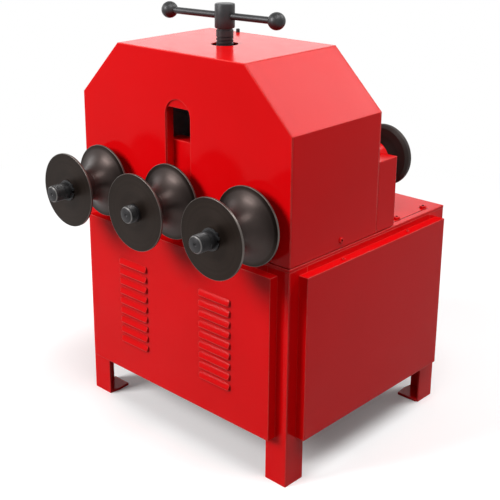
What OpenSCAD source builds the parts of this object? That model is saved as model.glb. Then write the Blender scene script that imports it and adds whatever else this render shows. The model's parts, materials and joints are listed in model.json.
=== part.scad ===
// Electric three-roll tube bender: louvred cabinet on angle legs, sheet-metal head,
// three grooved rolls in a row, and a pressure screw that lowers the centre roll.
// Heights are measured from the floor. Depths are measured back from the front face of the cabinet.

/* [Cabinet] */
// Width of the cabinet and of the head
cab_w = 500; // [470:1:560]
// Depth of the cabinet
cab_d = 444; // [430:1:520]
// Height of the cabinet's top plate
cab_h = 395; // [350:1:450]
// Leg of the corner angles
leg_w = 45; // [36:1:54]
// Thickness of the corner angles
leg_t = 4; // [3:0.5:6]
// Thickness of the foot plates
foot_t = 5; // [3:0.5:8]
// Foot plates beyond the corner angles, sideways
foot_side = 3; // [2:1:10]
// Foot plates beyond the corner angles, in depth
foot_back = 3; // [2:1:10]
// Height of the rail angles
rail_h = 30; // [20:1:40]
// Thickness of the rail angles
rail_t = 4; // [3:0.5:6]
// Lower rails above the panels' lower edge
rail_lift = 8; // [4:1:12]
// Thickness of the top plate
top_t = 5; // [3:0.5:8]
// Distance of the top plate's slits from the cabinet's sides
slit_in = 12; // [8:1:14]
// Width of the top plate's slits
slit_w = 1.5; // [1:0.25:3]
// Slits short of the cabinet's back
slit_end = 34; // [20:1:50]

/* [Panels] */
// Depth of the folded panels
pan_d = 18; // [12:1:24]
// Sheet thickness of the panels
pan_t = 1.5; // [1:0.25:2.5]
// Post left bare beside each panel
pan_side = 24; // [16:1:30]
// Strip left bare above each panel
pan_top = 16; // [10:1:24]
// Height of the panels' lower edge above the floor
pan_z = 87; // [70:1:110]
// Number of louvres in a column
louvre_count = 9; // [5:1:10]
// Length of a louvre
louvre_len = 74; // [50:1:90]
// Height of a louvre's hood
louvre_h = 11; // [8:0.5:13]
// Reach of a louvre's hood out of the panel
louvre_out = 5; // [3.5:0.5:6]
// Radius of the upper corners and of the ends of a louvre's hood
louvre_end = 5; // [3:0.5:7]
// Radius of a louvre's hood from edge to edge
louvre_r = 32; // [20:1:60]
// Distance from one louvre to the next
louvre_pitch = 19.5; // [16:0.5:24]
// Top louvre below the upper edge of the panel
louvre_drop = 69; // [50:1:80]
// Half the distance between the two louvre columns
louvre_x = 103; // [80:1:120]

/* [Head] */
// Depth of the head
head_d = 231; // [225:1:250]
// Height of the head above the top plate
head_h = 315; // [305:1:330]
// Height of the head's upright sides
shoulder_h = 215; // [190:1:230]
// Width of the flat top of the head
head_top_w = 300; // [240:1:340]
// Sheet thickness of the head
head_t = 2.5; // [1.5:0.5:4]
// Gap between the head's lower edge and the top plate
head_gap = 1.5; // [1:0.5:3]
// Width of the slot for the centre shaft
slot_w = 60; // [54:1:70]
// Room over the centre shaft's collar in the slot, centre roll up
slot_room = 17; // [8:1:24]
// Radius of the screw's hole in the head
screw_hole_r = 23.5; // [20:0.5:30]
// Radius of the stud on the head's top
stud_r = 3.5; // [2.5:0.5:5]
// Height of the stud on the head's top
stud_h = 7; // [5:0.5:10]
// Sideways place of the stud
stud_x = -71; // [-100:1:-50]

/* [Guard] */
// Depth of the gear guard behind the head
guard_d = 52; // [48:1:60]
// Height of the gear guard
guard_h = 128; // [124:1:150]
// Sheet thickness of the gear guard
guard_t = 2; // [1.5:0.5:3]

/* [Rolls] */
// Distance from one roll to the next
roll_gap = 178; // [170:1:185]
// Height of the roll axes above the top plate, centre roll down
roll_z = 61; // [58:1:68]
// Diameter of the tube that the rolls are cut for
tube_d = 76; // [60:1:80]
// Diameter of a roll over its rims
roll_d = 133; // [125:1:145]
// Width of the rim on each side of the groove
rim_w = 4; // [3:0.5:6]
// Distance from the head's face to the rolls
roll_back = 18; // [14:1:24]
// Diameter of the shafts in the rolls
shaft_d = 30; // [24:1:34]
// Diameter of the shaft journals
journal_d = 40; // [36:1:42]
// Diameter of the shaft collars behind the rolls
collar_d = 44; // [43:0.5:48]
// Length of the outer shafts' free ends
stub_len = 35; // [25:1:45]
// Length of the centre shaft's free end
centre_stub_len = 18; // [12:1:30]
// Radial width of a retaining ring
ring_w = 6; // [4:0.5:8]
// Thickness of a retaining ring
ring_t = 2.5; // [2:0.25:3]
// Depth of the groove that a retaining ring sits in
ring_seat = 1.2; // [0.8:0.1:1.6]
// Opening of a retaining ring, in degrees
ring_open = 24; // [10:1:40]

/* [Frame] */
// Thickness of the bearing plates
plate_t = 16; // [12:1:20]
// Half width of the bearing plates
plate_half = 222; // [212:1:228]
// Height of the bearing plates at the outer shafts
plate_h = 140; // [120:1:160]
// Room between the bearing plates and the head's top
roof_gap = 9.5; // [7:0.5:12]
// Height of the bearing plates' sloping shoulders
plate_slope = 60; // [40:1:80]
// Bearing plates beyond the guide posts
plate_neck = 10; // [6:1:16]
// Wall of the flanged bushes
bush_wall = 5; // [4:0.5:6]
// Flange of the flanged bushes beyond their sleeve
bush_flange = 6; // [4:0.5:8]
// Thickness of the flange of the bushes
bush_flange_t = 4; // [3:0.5:6]
// Width of the window for the centre shaft
window_w = 58; // [52:1:66]
// Radius of the corners of the window
window_r = 8; // [5:1:12]
// Width of the slide block
block_w = 84; // [80:1:92]
// Depth of the slide block's cheeks
cheek_d = 30; // [24:1:36]
// Top of the cheeks above the roll axis
cheek_up = 98; // [90:1:104]
// Slide block below the roll axis
block_down = 40; // [34:1:46]
// Metal between the centre shaft and the screw's foot
web_t = 13; // [8:0.5:16]
// Thickness of the guide posts beside the slide block
post_t = 16; // [12:1:20]
// Height of the bridge that holds the nut
bridge_h = 45; // [36:1:48]
// Depth of the bridge
bridge_d = 100; // [80:1:106]
// Thickness of the ring that keeps the centre shaft in the slide block
keeper_t = 6; // [4:0.5:8]
// Width of that ring beyond the journal
keeper_w = 4; // [3:0.5:5]
// Depth of the recess for that ring
keeper_deep = 12; // [10:0.5:14]

/* [Pressure screw] */
// Diameter of the screw
screw_d = 30; // [26:1:34]
// Pitch of the screw's thread
screw_pitch = 6; // [4:0.5:8]
// Depth of the thread
thread_depth = 1.6; // [1:0.1:2]
// Diameter of the screw's head
screw_head_d = 35; // [34:0.5:40]
// Height of the screw's head
screw_head_h = 42; // [34:1:50]
// Screw head above the head's top, centre roll down
screw_clear = 27.5; // [15:0.5:40]
// Radius of the screw's foot
screw_foot_r = 21.5; // [19:0.5:24]
// Thickness of the screw's foot
screw_foot_t = 20; // [14:1:24]
// Thickness of the cap over the screw's foot
cap_t = 8; // [5:1:10]
// Width of the cap beyond the screw's foot
cap_rim = 10; // [6:1:14]
// Diameter of the cross bar
bar_d = 12; // [10:0.5:14]
// Distance between the centres of the cross bar's balls
bar_len = 240; // [180:1:300]
// Diameter of the balls
ball_d = 30; // [24:1:36]
// Depth of the cross bar in a ball
socket = 12; // [9:0.5:14]
// Sideways rest of the cross bar
bar_shift = -9; // [-40:1:40]
// Rest angle of the cross bar
bar_angle = 3.5; // [-20:0.5:20]

/* [Drive] */
// Teeth of the gears on the outer shafts
shaft_teeth = 20; // [18:1:22]
// Teeth of the idlers and of the drive pinion, an odd number
idler_teeth = 23; // [21:2:25]
// Width of the gears
gear_w = 16; // [12:1:20]
// Gap between the head's back and the gears
gear_back = 9; // [6:1:12]
// Radius of the idler axles and of the rear wheel's axle
axle_r = 10; // [8:0.5:14]
// Width of the axles' collars
axle_collar = 6; // [5:0.5:8]
// Thickness of the axles' end collars
axle_collar_t = 5; // [3:0.5:7]
// Radius of the drive shaft
drive_r = 12.5; // [10:0.5:15]
// Width of the gearbox
gearbox_w = 104; // [90:1:120]
// Depth of the gearbox
gearbox_d = 92; // [80:1:100]
// Height of the gearbox
gearbox_h = 126; // [110:1:150]
// Gearbox's boss and foot beyond its body
gearbox_step = 8; // [5:1:12]
// Thickness of the gearbox's foot
gearbox_foot_t = 10; // [8:1:14]
// Wall of the gearbox's boss round the drive shaft
gearbox_boss = 18; // [12:1:24]
// Radius of the hole in the top plate between the gearbox and the motor
motor_hole_r = 45; // [30:1:50]
// Radius of the motor
motor_r = 60; // [50:1:66]
// Length of the motor's body
motor_len = 170; // [130:1:190]
// Radius of the motor's flange
motor_flange_r = 70; // [68:1:76]
// Thickness of the motor's flange
motor_flange_t = 10; // [8:1:14]
// Length of the fan cover
fan_len = 42; // [30:1:50]
// Width of the contactor box
control_w = 120; // [90:1:140]
// Depth of the contactor box
control_d = 58; // [40:1:70]
// Height of the contactor box
control_h = 130; // [100:1:150]

/* [Rear wheel] */
// Diameter of the rear wheel
wheel_d = 113; // [90:1:125]
// Thickness of the rear wheel
wheel_t = 18; // [12:1:24]
// Rear wheel's axis from the cabinet's right side
wheel_in = 72; // [60:1:90]
// Height of the rear wheel's axis above the top plate
wheel_z = 104; // [95:1:120]
// Gap between the guard and the wheel's bearing block
wheel_gap = 6; // [4:1:10]
// Thickness of the wheel's bearing block
wheel_block_t = 26; // [20:1:30]
// Radius of the wheel's bearing block
wheel_block_r = 34; // [26:1:40]
// Free length of axle between the bearing block and the wheel
wheel_reach = 23; // [15:1:30]

/* [Fasteners and inlet] */
// Radius of the head's screws
cover_screw_r = 5; // [4:0.5:6]
// Radius of the side panels' screws
panel_screw_r = 3.5; // [2.5:0.5:4.5]
// Radius of the top plate's bolt heads
top_bolt_r = 6.5; // [5:0.5:8]
// Height of the screw and bolt heads over their radius
screw_dome = 0.6; // [0.4:0.05:0.8]
// Radius of the cable gland
gland_r = 13; // [10:0.5:16]
// Length of the cable gland outside the rear panel
gland_len = 22; // [16:1:30]

/* [Hidden] */
$fn = 64;
// Radial clearance of a shaft that turns in its hole
run_gap = 0.05;
// Gap on each side of a part that slides
slide_gap = 0.3;
// Depth by which a cut runs past a face
cut = 1;
// Room round a shaft that passes through sheet metal
hole_room = 3;
// Room between the slide block's cap and the bridge when the centre roll is up
stop_gap = 1;
// Room at the ends of the window and behind the shafts' ends
end_room = 2;

red = [0.80, 0.04, 0.05];
black = [0.16, 0.15, 0.15];
steel = [0.62, 0.63, 0.64];
grey = [0.45, 0.47, 0.49];
bronze = [0.70, 0.52, 0.28];

// Depths, from the front face of the cabinet backwards
frame_y = head_t;
window_back = frame_y + plate_t;
rear_plate_y = head_d - head_t - plate_t;
block_y = window_back + 2*slide_gap;
block_d = rear_plate_y - 2*slide_gap - block_y;
screw_y = head_d/2;
roll_len = tube_d + 2*rim_w;
roll_y = -roll_back - roll_len;
gear_y = head_d + gear_back;
guard_y = head_d + guard_d;
gearbox_y = guard_y + slide_gap;
motor_y = gearbox_y + gearbox_d/2;
wheel_block_y = guard_y + wheel_gap;
wheel_y = wheel_block_y + wheel_block_t + wheel_reach;
keeper_y = block_y + block_d - keeper_deep;
gear_back_y = gear_y + gear_w;

// Depths of the steps behind the rolls: collar, journal, and the radius and depth of the tail
outer_back = [frame_y - 2*slide_gap, head_d + hole_room, shaft_d/2, gear_back_y + axle_collar_t];
centre_back = [window_back - 2*slide_gap, keeper_y, shaft_d/2, block_y + block_d - end_room];

// The frame's origin lies under the middle of the whole object
reach_front = -roll_y + stub_len;
reach_back = cab_d + pan_d + gland_len;
front_y = (reach_front - reach_back)/2;

// Heights
rim_z = cab_h - top_t;
axis_z = cab_h + roll_z;
head_z = cab_h + head_gap;
head_top = cab_h + head_h;
shoulder_z = cab_h + shoulder_h;
pan_h = rim_z - pan_top - pan_z + top_t;
plate_top = head_top - head_t - roof_gap;
bridge_z = plate_top - bridge_h;
block_top = axis_z + journal_d/2 + web_t + screw_foot_t;
foot_z = block_top - screw_foot_t;
// The centre roll's travel ends where the cap meets the bridge
lift = bridge_z - stop_gap - cap_t - block_top;
slot_top = axis_z + lift + collar_d/2 + slot_room;
screw_head_z = head_top + screw_clear;
bar_z = screw_head_z + screw_head_h/2;
wheel_axis_z = cab_h + wheel_z;

// Radii
groove_r = tube_d/2;
roll_r = roll_d/2;
shaft_r = shaft_d/2;
journal_r = journal_d/2;
collar_r = collar_d/2;
bush_r = journal_r + run_gap;
bush_out = bush_r + bush_wall;
collar_hole_r = collar_r + hole_room;
gland_thread_r = gland_r*0.75;
screw_r = screw_d/2;
post_in = block_w/2 + slide_gap;
bar_half = bar_len/2 - ball_d/2 + socket;

// Gears: the module follows from the distance between the shafts
gear_m = roll_gap/(shaft_teeth/2 + 3*idler_teeth/2);
shaft_gear_r = gear_m*shaft_teeth/2;
idler_r = gear_m*idler_teeth/2;
idler_x = roll_gap - shaft_gear_r - idler_r;
pressure_angle = 20;
backlash = 0.06;
addendum = 0.9;
dedendum = 1.25;
root_round = 0.2;
flank_steps = 5;

// Places of the screws and bolts
top_bolt_in = 20;
top_bolt_end = 38;
top_bolt_ys = [guard_y + top_bolt_end, cab_d - top_bolt_end];
cover_screw_y = head_d*0.565;
cover_screw_z = cab_h + 15;
side_screw_ys = [cab_d*0.29, cab_d*0.71];
side_screw_out = pan_d*0.45;
window_top = axis_z + lift + collar_r + end_room;
window_bottom = axis_z - collar_r - end_room;
ring_gap_at = 30;
control_room = 5;
gland_x = leg_w + control_room + control_w/2 - cab_w/2;
wheel_x = cab_w/2 - wheel_in;
gland_z = pan_z + pan_h/6;
gland_tail = 8;

// Puts depths that are measured from the front face into the part's frame
module from_front() {
    translate([0, front_y, 0]) children();
}

// A round bar that points back along the depth
module rod(r, y0, y1) {
    translate([0, y1, 0]) rotate([90, 0, 0]) cylinder(r = r, h = y1 - y0);
}

// A profile of radius over depth, turned round the depth axis
module turned(points) {
    rotate([-90, 0, 0]) rotate_extrude() polygon(points);
}

// A flat outline of width over height, given a thickness in depth
module upright(y0, t) {
    translate([0, y0 + t, 0]) rotate([90, 0, 0]) linear_extrude(t) children();
}

// Copies at both sides of the middle plane
module both_sides(x) {
    for (s = [-1, 1]) translate([s*x, 0, 0]) children();
}

// One corner angle; sx and sy point from the corner outwards
module leg(sx, sy) {
    color(red) from_front()
        translate([sx*cab_w/2, cab_d/2 + sy*cab_d/2, 0])
            difference() {
                translate([sx > 0 ? -leg_w : 0, sy > 0 ? -leg_w : 0, 0]) cube([leg_w, leg_w, rim_z]);
                translate([sx > 0 ? -leg_w - cut : leg_t, sy > 0 ? -leg_w - cut : leg_t, -cut])
                    cube([leg_w - leg_t + cut, leg_w - leg_t + cut, rim_z + 2*cut]);
            }
}

module leg_front_left() { leg(-1, -1); }
module leg_front_right() { leg(1, -1); }
module leg_rear_left() { leg(-1, 1); }
module leg_rear_right() { leg(1, 1); }

// The plate inside one corner angle, with its free corners clipped
module foot_plate() {
    wide = leg_w + foot_side;
    deep = leg_w + foot_back;
    linear_extrude(foot_t)
        polygon([
            [leg_t, leg_t], [leg_w, leg_t], [wide, leg_w/2],
            [leg_w, deep], [leg_t, deep]
        ]);
}

module foot_plates() {
    color(red) from_front()
        for (mx = [0, 1], my = [0, 1])
            translate([0, cab_d/2, 0])
                mirror([mx, 0, 0]) mirror([0, my, 0])
                    translate([-cab_w/2, -cab_d/2, 0]) foot_plate();
}

// An angle rail along X with its upright flange in front and its other flange on top
module rail(length) {
    translate([-length/2, 0, -rail_h]) cube([length, rail_t, rail_h]);
    translate([-length/2, rail_t, -rail_t]) cube([length, rail_h - rail_t, rail_t]);
}

// Four rails between the legs, with their top at height z
module rail_ring(z) {
    long = cab_w - 2*leg_w;
    short = cab_d - 2*leg_w;
    color(red) from_front() translate([0, cab_d/2, z]) {
        for (turn = [0, 180]) rotate([0, 0, turn]) translate([0, -cab_d/2, 0]) rail(long);
        for (turn = [90, 270]) rotate([0, 0, turn]) translate([0, -cab_w/2, 0]) rail(short);
    }
}

module lower_rails() { rail_ring(pan_z + rail_h + rail_lift); }
module upper_rails() { rail_ring(rim_z); }

module cabinet_top() {
    color(red) from_front()
        difference() {
            translate([-cab_w/2, 0, rim_z]) cube([cab_w, cab_d, top_t]);
            both_sides(cab_w/2 - slit_in)
                translate([-slit_w/2, guard_y, rim_z - cut])
                    cube([slit_w, cab_d - slit_end - guard_y, top_t + 2*cut]);
            translate([0, motor_y, rim_z - cut]) cylinder(r = motor_hole_r, h = top_t + 2*cut);
            for (y = top_bolt_ys)
                both_sides(cab_w/2 - top_bolt_in)
                    translate([0, y, rim_z - cut]) cylinder(r = top_bolt_r/2 + run_gap, h = top_t + 2*cut);
        }
}

// A folded panel that opens backwards, centred on X, with its back edge at depth 0
module pan(width) {
    difference() {
        translate([-width/2, -pan_d, pan_z]) cube([width, pan_d, pan_h]);
        translate([pan_t - width/2, pan_t - pan_d, pan_z + pan_t])
            cube([width - 2*pan_t, pan_d, pan_h - 2*pan_t]);
    }
}

// Calls its children at the place of each louvre
module each_louvre() {
    top = pan_z + pan_h - louvre_drop;
    for (s = [-1, 1], i = [0 : louvre_count - 1])
        translate([s*louvre_x, -pan_d, top - i*louvre_pitch - louvre_h/2]) children();
}

// The section of a hood, as depth over height: a slack arc from the panel out to the lower edge
module louvre_section(inset, low, back) {
    chord = norm([louvre_out, louvre_h]);
    far = sqrt(louvre_r*louvre_r - chord*chord/4)/chord;
    intersection() {
        translate([far*louvre_h - louvre_out/2, louvre_h/2 - far*louvre_out]) circle(r = louvre_r - inset);
        translate([-louvre_out, low]) square([louvre_out + back, louvre_h - low]);
    }
}

// A section drawn out along the width of a louvre
module along_louvre(length) {
    rotate([90, 0, 90]) linear_extrude(length, center = true) children();
}

// The outline of a hood from the front, with round upper corners
module louvre_face() {
    inner = louvre_len/2 - louvre_end;
    translate([-louvre_len/2, 0]) square([louvre_len, louvre_h - louvre_end]);
    translate([-inner, 0]) square([2*inner, louvre_h]);
    both_sides(inner) translate([0, louvre_h - louvre_end]) circle(r = louvre_end);
}

// The outline of a hood from above, with ends that curve back into the panel
module louvre_plan() {
    inner = louvre_len/2 - louvre_end;
    deep = max(louvre_out - louvre_end, 0);
    translate([-louvre_len/2, -deep]) square([louvre_len, deep + pan_t]);
    translate([-inner, -louvre_out - cut]) square([2*inner, louvre_out + pan_t + cut]);
    both_sides(inner) translate([0, -deep]) circle(r = louvre_end);
}

// A pressed hood that stands out of the panel
module louvre_hood() {
    intersection() {
        along_louvre(louvre_len) louvre_section(0, 0, pan_t/2);
        upright(-louvre_out - cut, louvre_out + pan_t + cut) louvre_face();
        translate([0, 0, -cut]) linear_extrude(louvre_h + 2*cut) louvre_plan();
    }
}

// The space under a hood, open downwards and through the panel
module louvre_opening() {
    along_louvre(louvre_len - 2*louvre_end) louvre_section(pan_t, -cut, pan_t + cut);
}

module front_panel() {
    color(red) from_front()
        difference() {
            union() {
                pan(cab_w - 2*pan_side);
                each_louvre() louvre_hood();
            }
            each_louvre() louvre_opening();
        }
}

// The panel of one side; its screws sit in its upper flange
module side_panel(side) {
    color(red) from_front()
        difference() {
            translate([side*cab_w/2, cab_d/2, 0]) rotate([0, 0, side*90]) pan(cab_d - 2*pan_side);
            each_side_screw(side)
                translate([0, 0, -2*pan_t]) cylinder(r = panel_screw_r/2 + run_gap, h = 4*pan_t);
        }
}

module left_panel() { side_panel(-1); }
module right_panel() { side_panel(1); }

module rear_panel() {
    color(red) from_front()
        difference() {
            translate([0, cab_d, 0]) rotate([0, 0, 180]) pan(cab_w - 2*pan_side);
            translate([gland_x, 0, gland_z]) rod(gland_thread_r + run_gap, cab_d, cab_d + pan_d + cut);
        }
}

// Calls its children at the screws in the upper flange of one side panel
module each_side_screw(side) {
    for (y = side_screw_ys)
        translate([side*(cab_w/2 + side_screw_out), y, pan_z + pan_h]) children();
}

// A pan-head screw that stands on its seat
module pan_screw(r, shank) {
    tall = r*screw_dome;
    rotate_extrude()
        polygon([[0, -shank], [r/2, -shank], [r/2, 0], [r, 0], [r, tall*0.6], [r*0.7, tall], [0, tall]]);
}

module panel_screws() {
    color(red) from_front()
        for (side = [-1, 1]) each_side_screw(side) pan_screw(panel_screw_r, 3*pan_t);
}

module top_bolts() {
    color(red) from_front()
        for (y = top_bolt_ys)
            both_sides(cab_w/2 - top_bolt_in)
                translate([0, y, cab_h]) pan_screw(top_bolt_r, top_t);
}

// The head's outline, drawn in by the thickness t on its sides, slopes and top
module head_outline(t) {
    slope = [cab_w/2 - head_top_w/2, head_top - shoulder_z];
    n = [slope[1], slope[0]]/norm(slope);
    reach = n[0]*cab_w/2 + n[1]*shoulder_z - t;
    side = cab_w/2 - t;
    top = head_top - t;
    elbow = (reach - n[0]*side)/n[1];
    top_x = (reach - n[1]*top)/n[0];
    polygon([
        [-side, head_z], [side, head_z], [side, elbow], [top_x, top], [-top_x, top], [-side, elbow]
    ]);
}

// A slot with round ends, standing upright
module round_slot(width, bottom, top) {
    low = bottom + width/2;
    translate([0, low]) circle(r = width/2);
    translate([0, top - width/2]) circle(r = width/2);
    translate([-width/2, low]) square([width, top - width - bottom]);
}

module head_front() {
    color(red) from_front()
        upright(0, head_t)
            difference() {
                head_outline(0);
                round_slot(slot_w, axis_z - slot_w/2, slot_top);
                both_sides(roll_gap) translate([0, axis_z]) circle(r = collar_hole_r);
            }
}

// The sheet round the head's sides, slopes and top, between its front and rear plates
module head_skin() {
    upright(head_t, head_d - 2*head_t)
        difference() {
            head_outline(0);
            translate([0, -head_t]) head_outline(head_t);
            head_outline(head_t);
        }
}

// The space over the head's flat top, down to the floor
module under_top() {
    translate([-head_top_w/2, 0, 0]) cube([head_top_w, head_d, head_top + cut]);
}

module head_top() {
    color(red) from_front()
        difference() {
            intersection() {
                head_skin();
                under_top();
            }
            translate([0, screw_y, head_top - 2*head_t]) cylinder(r = screw_hole_r, h = 3*head_t);
            top_stud_place()
                translate([0, 0, -2*head_t]) cylinder(r = stud_r/2 + run_gap, h = 3*head_t);
        }
}

// One side of the head with the slope above it
module head_side(side) {
    color(red) from_front()
        difference() {
            head_skin();
            under_top();
            translate([side > 0 ? -cab_w : 0, 0, 0]) cube([cab_w, head_d, head_top + cut]);
            each_cover_screw()
                translate([0, 0, -3*head_t]) cylinder(r = cover_screw_r/2 + run_gap, h = 4*head_t);
        }
}

module head_left() { head_side(-1); }
module head_right() { head_side(1); }

module head_rear() {
    color(red) from_front()
        upright(head_d - head_t, head_t)
            difference() {
                head_outline(0);
                both_sides(roll_gap) translate([0, axis_z]) circle(r = collar_hole_r);
                both_sides(idler_x) translate([0, axis_z]) circle(r = axle_r + hole_room);
                translate([0, axis_z]) circle(r = drive_r + hole_room);
            }
}

// Calls its children at the screws in the head's sides, with +Z outwards
module each_cover_screw() {
    for (s = [-1, 1])
        translate([s*cab_w/2, cover_screw_y, cover_screw_z]) rotate([0, s*90, 0]) children();
}

module cover_screws() {
    color(red) from_front() each_cover_screw() pan_screw(cover_screw_r, 2*head_t);
}

// A small stud near the back edge of the head's top
module top_stud_place() {
    translate([stud_x, head_d - head_t - stud_r, head_top]) children();
}

module top_stud() {
    bevel = 1;
    color(black) from_front() top_stud_place()
        rotate_extrude()
            polygon([
                [0, -head_t], [stud_r/2, -head_t], [stud_r/2, 0], [stud_r, 0],
                [stud_r, stud_h - bevel], [stud_r - bevel, stud_h], [0, stud_h]
            ]);
}

// The outline of a bearing plate: low at the outer shafts, high at the bridge
module plate_outline() {
    neck = post_in + post_t + plate_neck;
    low = cab_h + plate_h;
    high = low + plate_slope;
    polygon([
        [-plate_half, cab_h], [plate_half, cab_h], [plate_half, low], [neck, high], [neck, plate_top],
        [-neck, plate_top], [-neck, high], [-plate_half, low]
    ]);
}

// The opening for the centre shaft, with round corners
module window() {
    half = window_w/2 - window_r;
    tall = window_top - window_bottom;
    for (x = [-half, half], z = [window_bottom + window_r, window_top - window_r])
        translate([x, z]) circle(r = window_r);
    translate([-half, window_bottom]) square([2*half, tall]);
    translate([-window_w/2, window_bottom + window_r]) square([window_w, tall - 2*window_r]);
}

module front_bearing_plate() {
    color(red) from_front()
        upright(frame_y, plate_t)
            difference() {
                plate_outline();
                window();
                both_sides(roll_gap) translate([0, axis_z]) circle(r = bush_out);
            }
}

module rear_bearing_plate() {
    color(red) from_front()
        upright(rear_plate_y, plate_t)
            difference() {
                plate_outline();
                both_sides(roll_gap) translate([0, axis_z]) circle(r = bush_out);
                both_sides(idler_x) translate([0, axis_z]) circle(r = axle_r);
                translate([0, axis_z]) circle(r = drive_r + run_gap);
            }
}

module guide_posts() {
    color(grey) from_front()
        for (s = [0, 1]) mirror([s, 0, 0])
            translate([post_in, window_back, cab_h])
                cube([post_t, rear_plate_y - window_back, plate_top - cab_h]);
}

module nut_bridge() {
    color(grey) from_front()
        difference() {
            translate([-post_in, screw_y - bridge_d/2, bridge_z]) cube([2*post_in, bridge_d, bridge_h]);
            translate([0, screw_y, bridge_z - cut]) cylinder(r = screw_r + run_gap, h = bridge_h + 2*cut);
        }
}

// A bush with its sleeve in a bearing plate and its flange on the plate's inner face
module bush(sleeve_y0, sleeve_y1, flange_y0, flange_y1) {
    difference() {
        union() {
            rod(bush_out, sleeve_y0, sleeve_y1);
            rod(bush_out + bush_flange, flange_y0, flange_y1);
        }
        rod(bush_r, sleeve_y0 - bush_flange_t - cut, sleeve_y1 + bush_flange_t + cut);
    }
}

module shaft_bushes() {
    color(bronze) from_front()
        both_sides(roll_gap) translate([0, 0, axis_z]) {
            bush(frame_y, window_back, window_back, window_back + bush_flange_t);
            bush(rear_plate_y, rear_plate_y + plate_t, rear_plate_y - bush_flange_t, rear_plate_y);
        }
}

// A folded cover over the gears, open towards the head and downwards
module gear_guard() {
    inner_w = cab_w - 2*guard_t;
    color(red) from_front()
        difference() {
            translate([-cab_w/2, head_d, head_z]) cube([cab_w, guard_d, cab_h + guard_h - head_z]);
            translate([-inner_w/2, head_d - cut, head_z - cut])
                cube([inner_w, guard_d - guard_t + cut, cab_h + guard_h - guard_t - head_z + cut]);
            translate([0, 0, axis_z]) rod(drive_r + hole_room, guard_y - 2*guard_t, guard_y + cut);
        }
}

module idler_axles() {
    color(steel) from_front()
        both_sides(idler_x) translate([0, 0, axis_z]) {
            rod(axle_r, rear_plate_y, gear_back_y + axle_collar_t);
            rod(axle_r + axle_collar, head_d, gear_y - slide_gap);
            rod(axle_r + axle_collar, gear_back_y + slide_gap, gear_back_y + axle_collar_t);
        }
}

// A worm gearbox: a block with a round boss round its output bore
module gearbox() {
    back = gearbox_y + gearbox_d;
    body_d = gearbox_d - 2*gearbox_step;
    foot_w = gearbox_w + 2*gearbox_step;
    color(grey) from_front()
        difference() {
            union() {
                translate([-gearbox_w/2, gearbox_y + gearbox_step, cab_h])
                    cube([gearbox_w, body_d, gearbox_h]);
                translate([-foot_w/2, gearbox_y + gearbox_step/2, cab_h])
                    cube([foot_w, body_d + gearbox_step, gearbox_foot_t]);
                translate([0, 0, axis_z]) rod(drive_r + gearbox_boss, gearbox_y, back);
            }
            translate([0, 0, axis_z]) rod(drive_r + run_gap, gearbox_y - cut, back - gearbox_step);
        }
}

// The motor hangs under the top plate by its flange
module motor() {
    fin_count = 24;
    fin_depth = 6;
    fin_t = 3;
    color(grey) from_front()
        translate([0, motor_y, rim_z]) {
            translate([0, 0, -motor_flange_t]) cylinder(r = motor_flange_r, h = motor_flange_t);
            translate([0, 0, -motor_flange_t - motor_len])
                linear_extrude(motor_len) union() {
                    circle(r = motor_r - fin_depth);
                    for (i = [0 : fin_count - 1])
                        rotate(i*360/fin_count)
                            translate([motor_r - 2*fin_depth, -fin_t/2]) square([2*fin_depth, fin_t]);
                }
        }
}

module fan_cover() {
    bevel = 6;
    color(black) from_front()
        translate([0, motor_y, rim_z - motor_flange_t - motor_len - fan_len])
            rotate_extrude()
                polygon([[0, 0], [motor_r - bevel, 0], [motor_r, bevel], [motor_r, fan_len], [0, fan_len]]);
}

// The contactor box inside the rear panel
module control_box() {
    step = 12;
    left = gland_x - control_w/2;
    front = cab_d + pan_d - pan_t - control_d;
    low = gland_z + 2*gland_r;
    color(grey) from_front()
        difference() {
            translate([left, front, low]) cube([control_w, control_d, control_h]);
            translate([left - cut, front - cut, low + control_h - step])
                cube([control_w + 2*cut, step + cut, step + cut]);
        }
}

// A gland in the rear panel, with a bore for the lead
module cable_gland() {
    inner = cab_d + pan_d - pan_t;
    outer = cab_d + pan_d;
    lead_r = gland_r*0.3;
    color(black) from_front()
        translate([gland_x, 0, gland_z])
            difference() {
                union() {
                    rod(gland_thread_r, inner - gland_tail, outer + gland_len*0.6);
                    rod(gland_r, outer, outer + gland_len*0.3);
                    rod(gland_r*0.9, outer + gland_len*0.45, outer + gland_len);
                }
                rod(lead_r, inner - gland_tail - cut, outer + gland_len + cut);
            }
}

// An upright bearing block with a round top
module wheel_block() {
    color(red) from_front()
        upright(wheel_block_y, wheel_block_t)
            difference() {
                translate([wheel_x, 0]) union() {
                    translate([0, wheel_axis_z]) circle(r = wheel_block_r);
                    translate([-wheel_block_r, cab_h]) square([2*wheel_block_r, wheel_z]);
                }
                translate([wheel_x, wheel_axis_z]) circle(r = axle_r);
            }
}

module wheel_axle() {
    block_back = wheel_block_y + wheel_block_t;
    wheel_back = wheel_y + wheel_t;
    color(steel) from_front()
        translate([wheel_x, 0, wheel_axis_z]) {
            rod(axle_r, wheel_block_y, wheel_back + axle_collar_t + end_room);
            rod(axle_r + axle_collar, block_back, wheel_y - slide_gap);
            rod(axle_r + axle_collar, wheel_back + slide_gap, wheel_back + axle_collar_t);
        }
}

// A wheel with a bevelled rim
module rear_wheel() {
    r = wheel_d/2;
    bevel = 5;
    hole = axle_r + run_gap;
    color(black) from_front()
        translate([wheel_x, wheel_y, wheel_axis_z])
            turned([
                [hole, 0], [r - bevel, 0], [r, bevel],
                [r, wheel_t - bevel], [r - bevel, wheel_t], [hole, wheel_t]
            ]);
}

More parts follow.
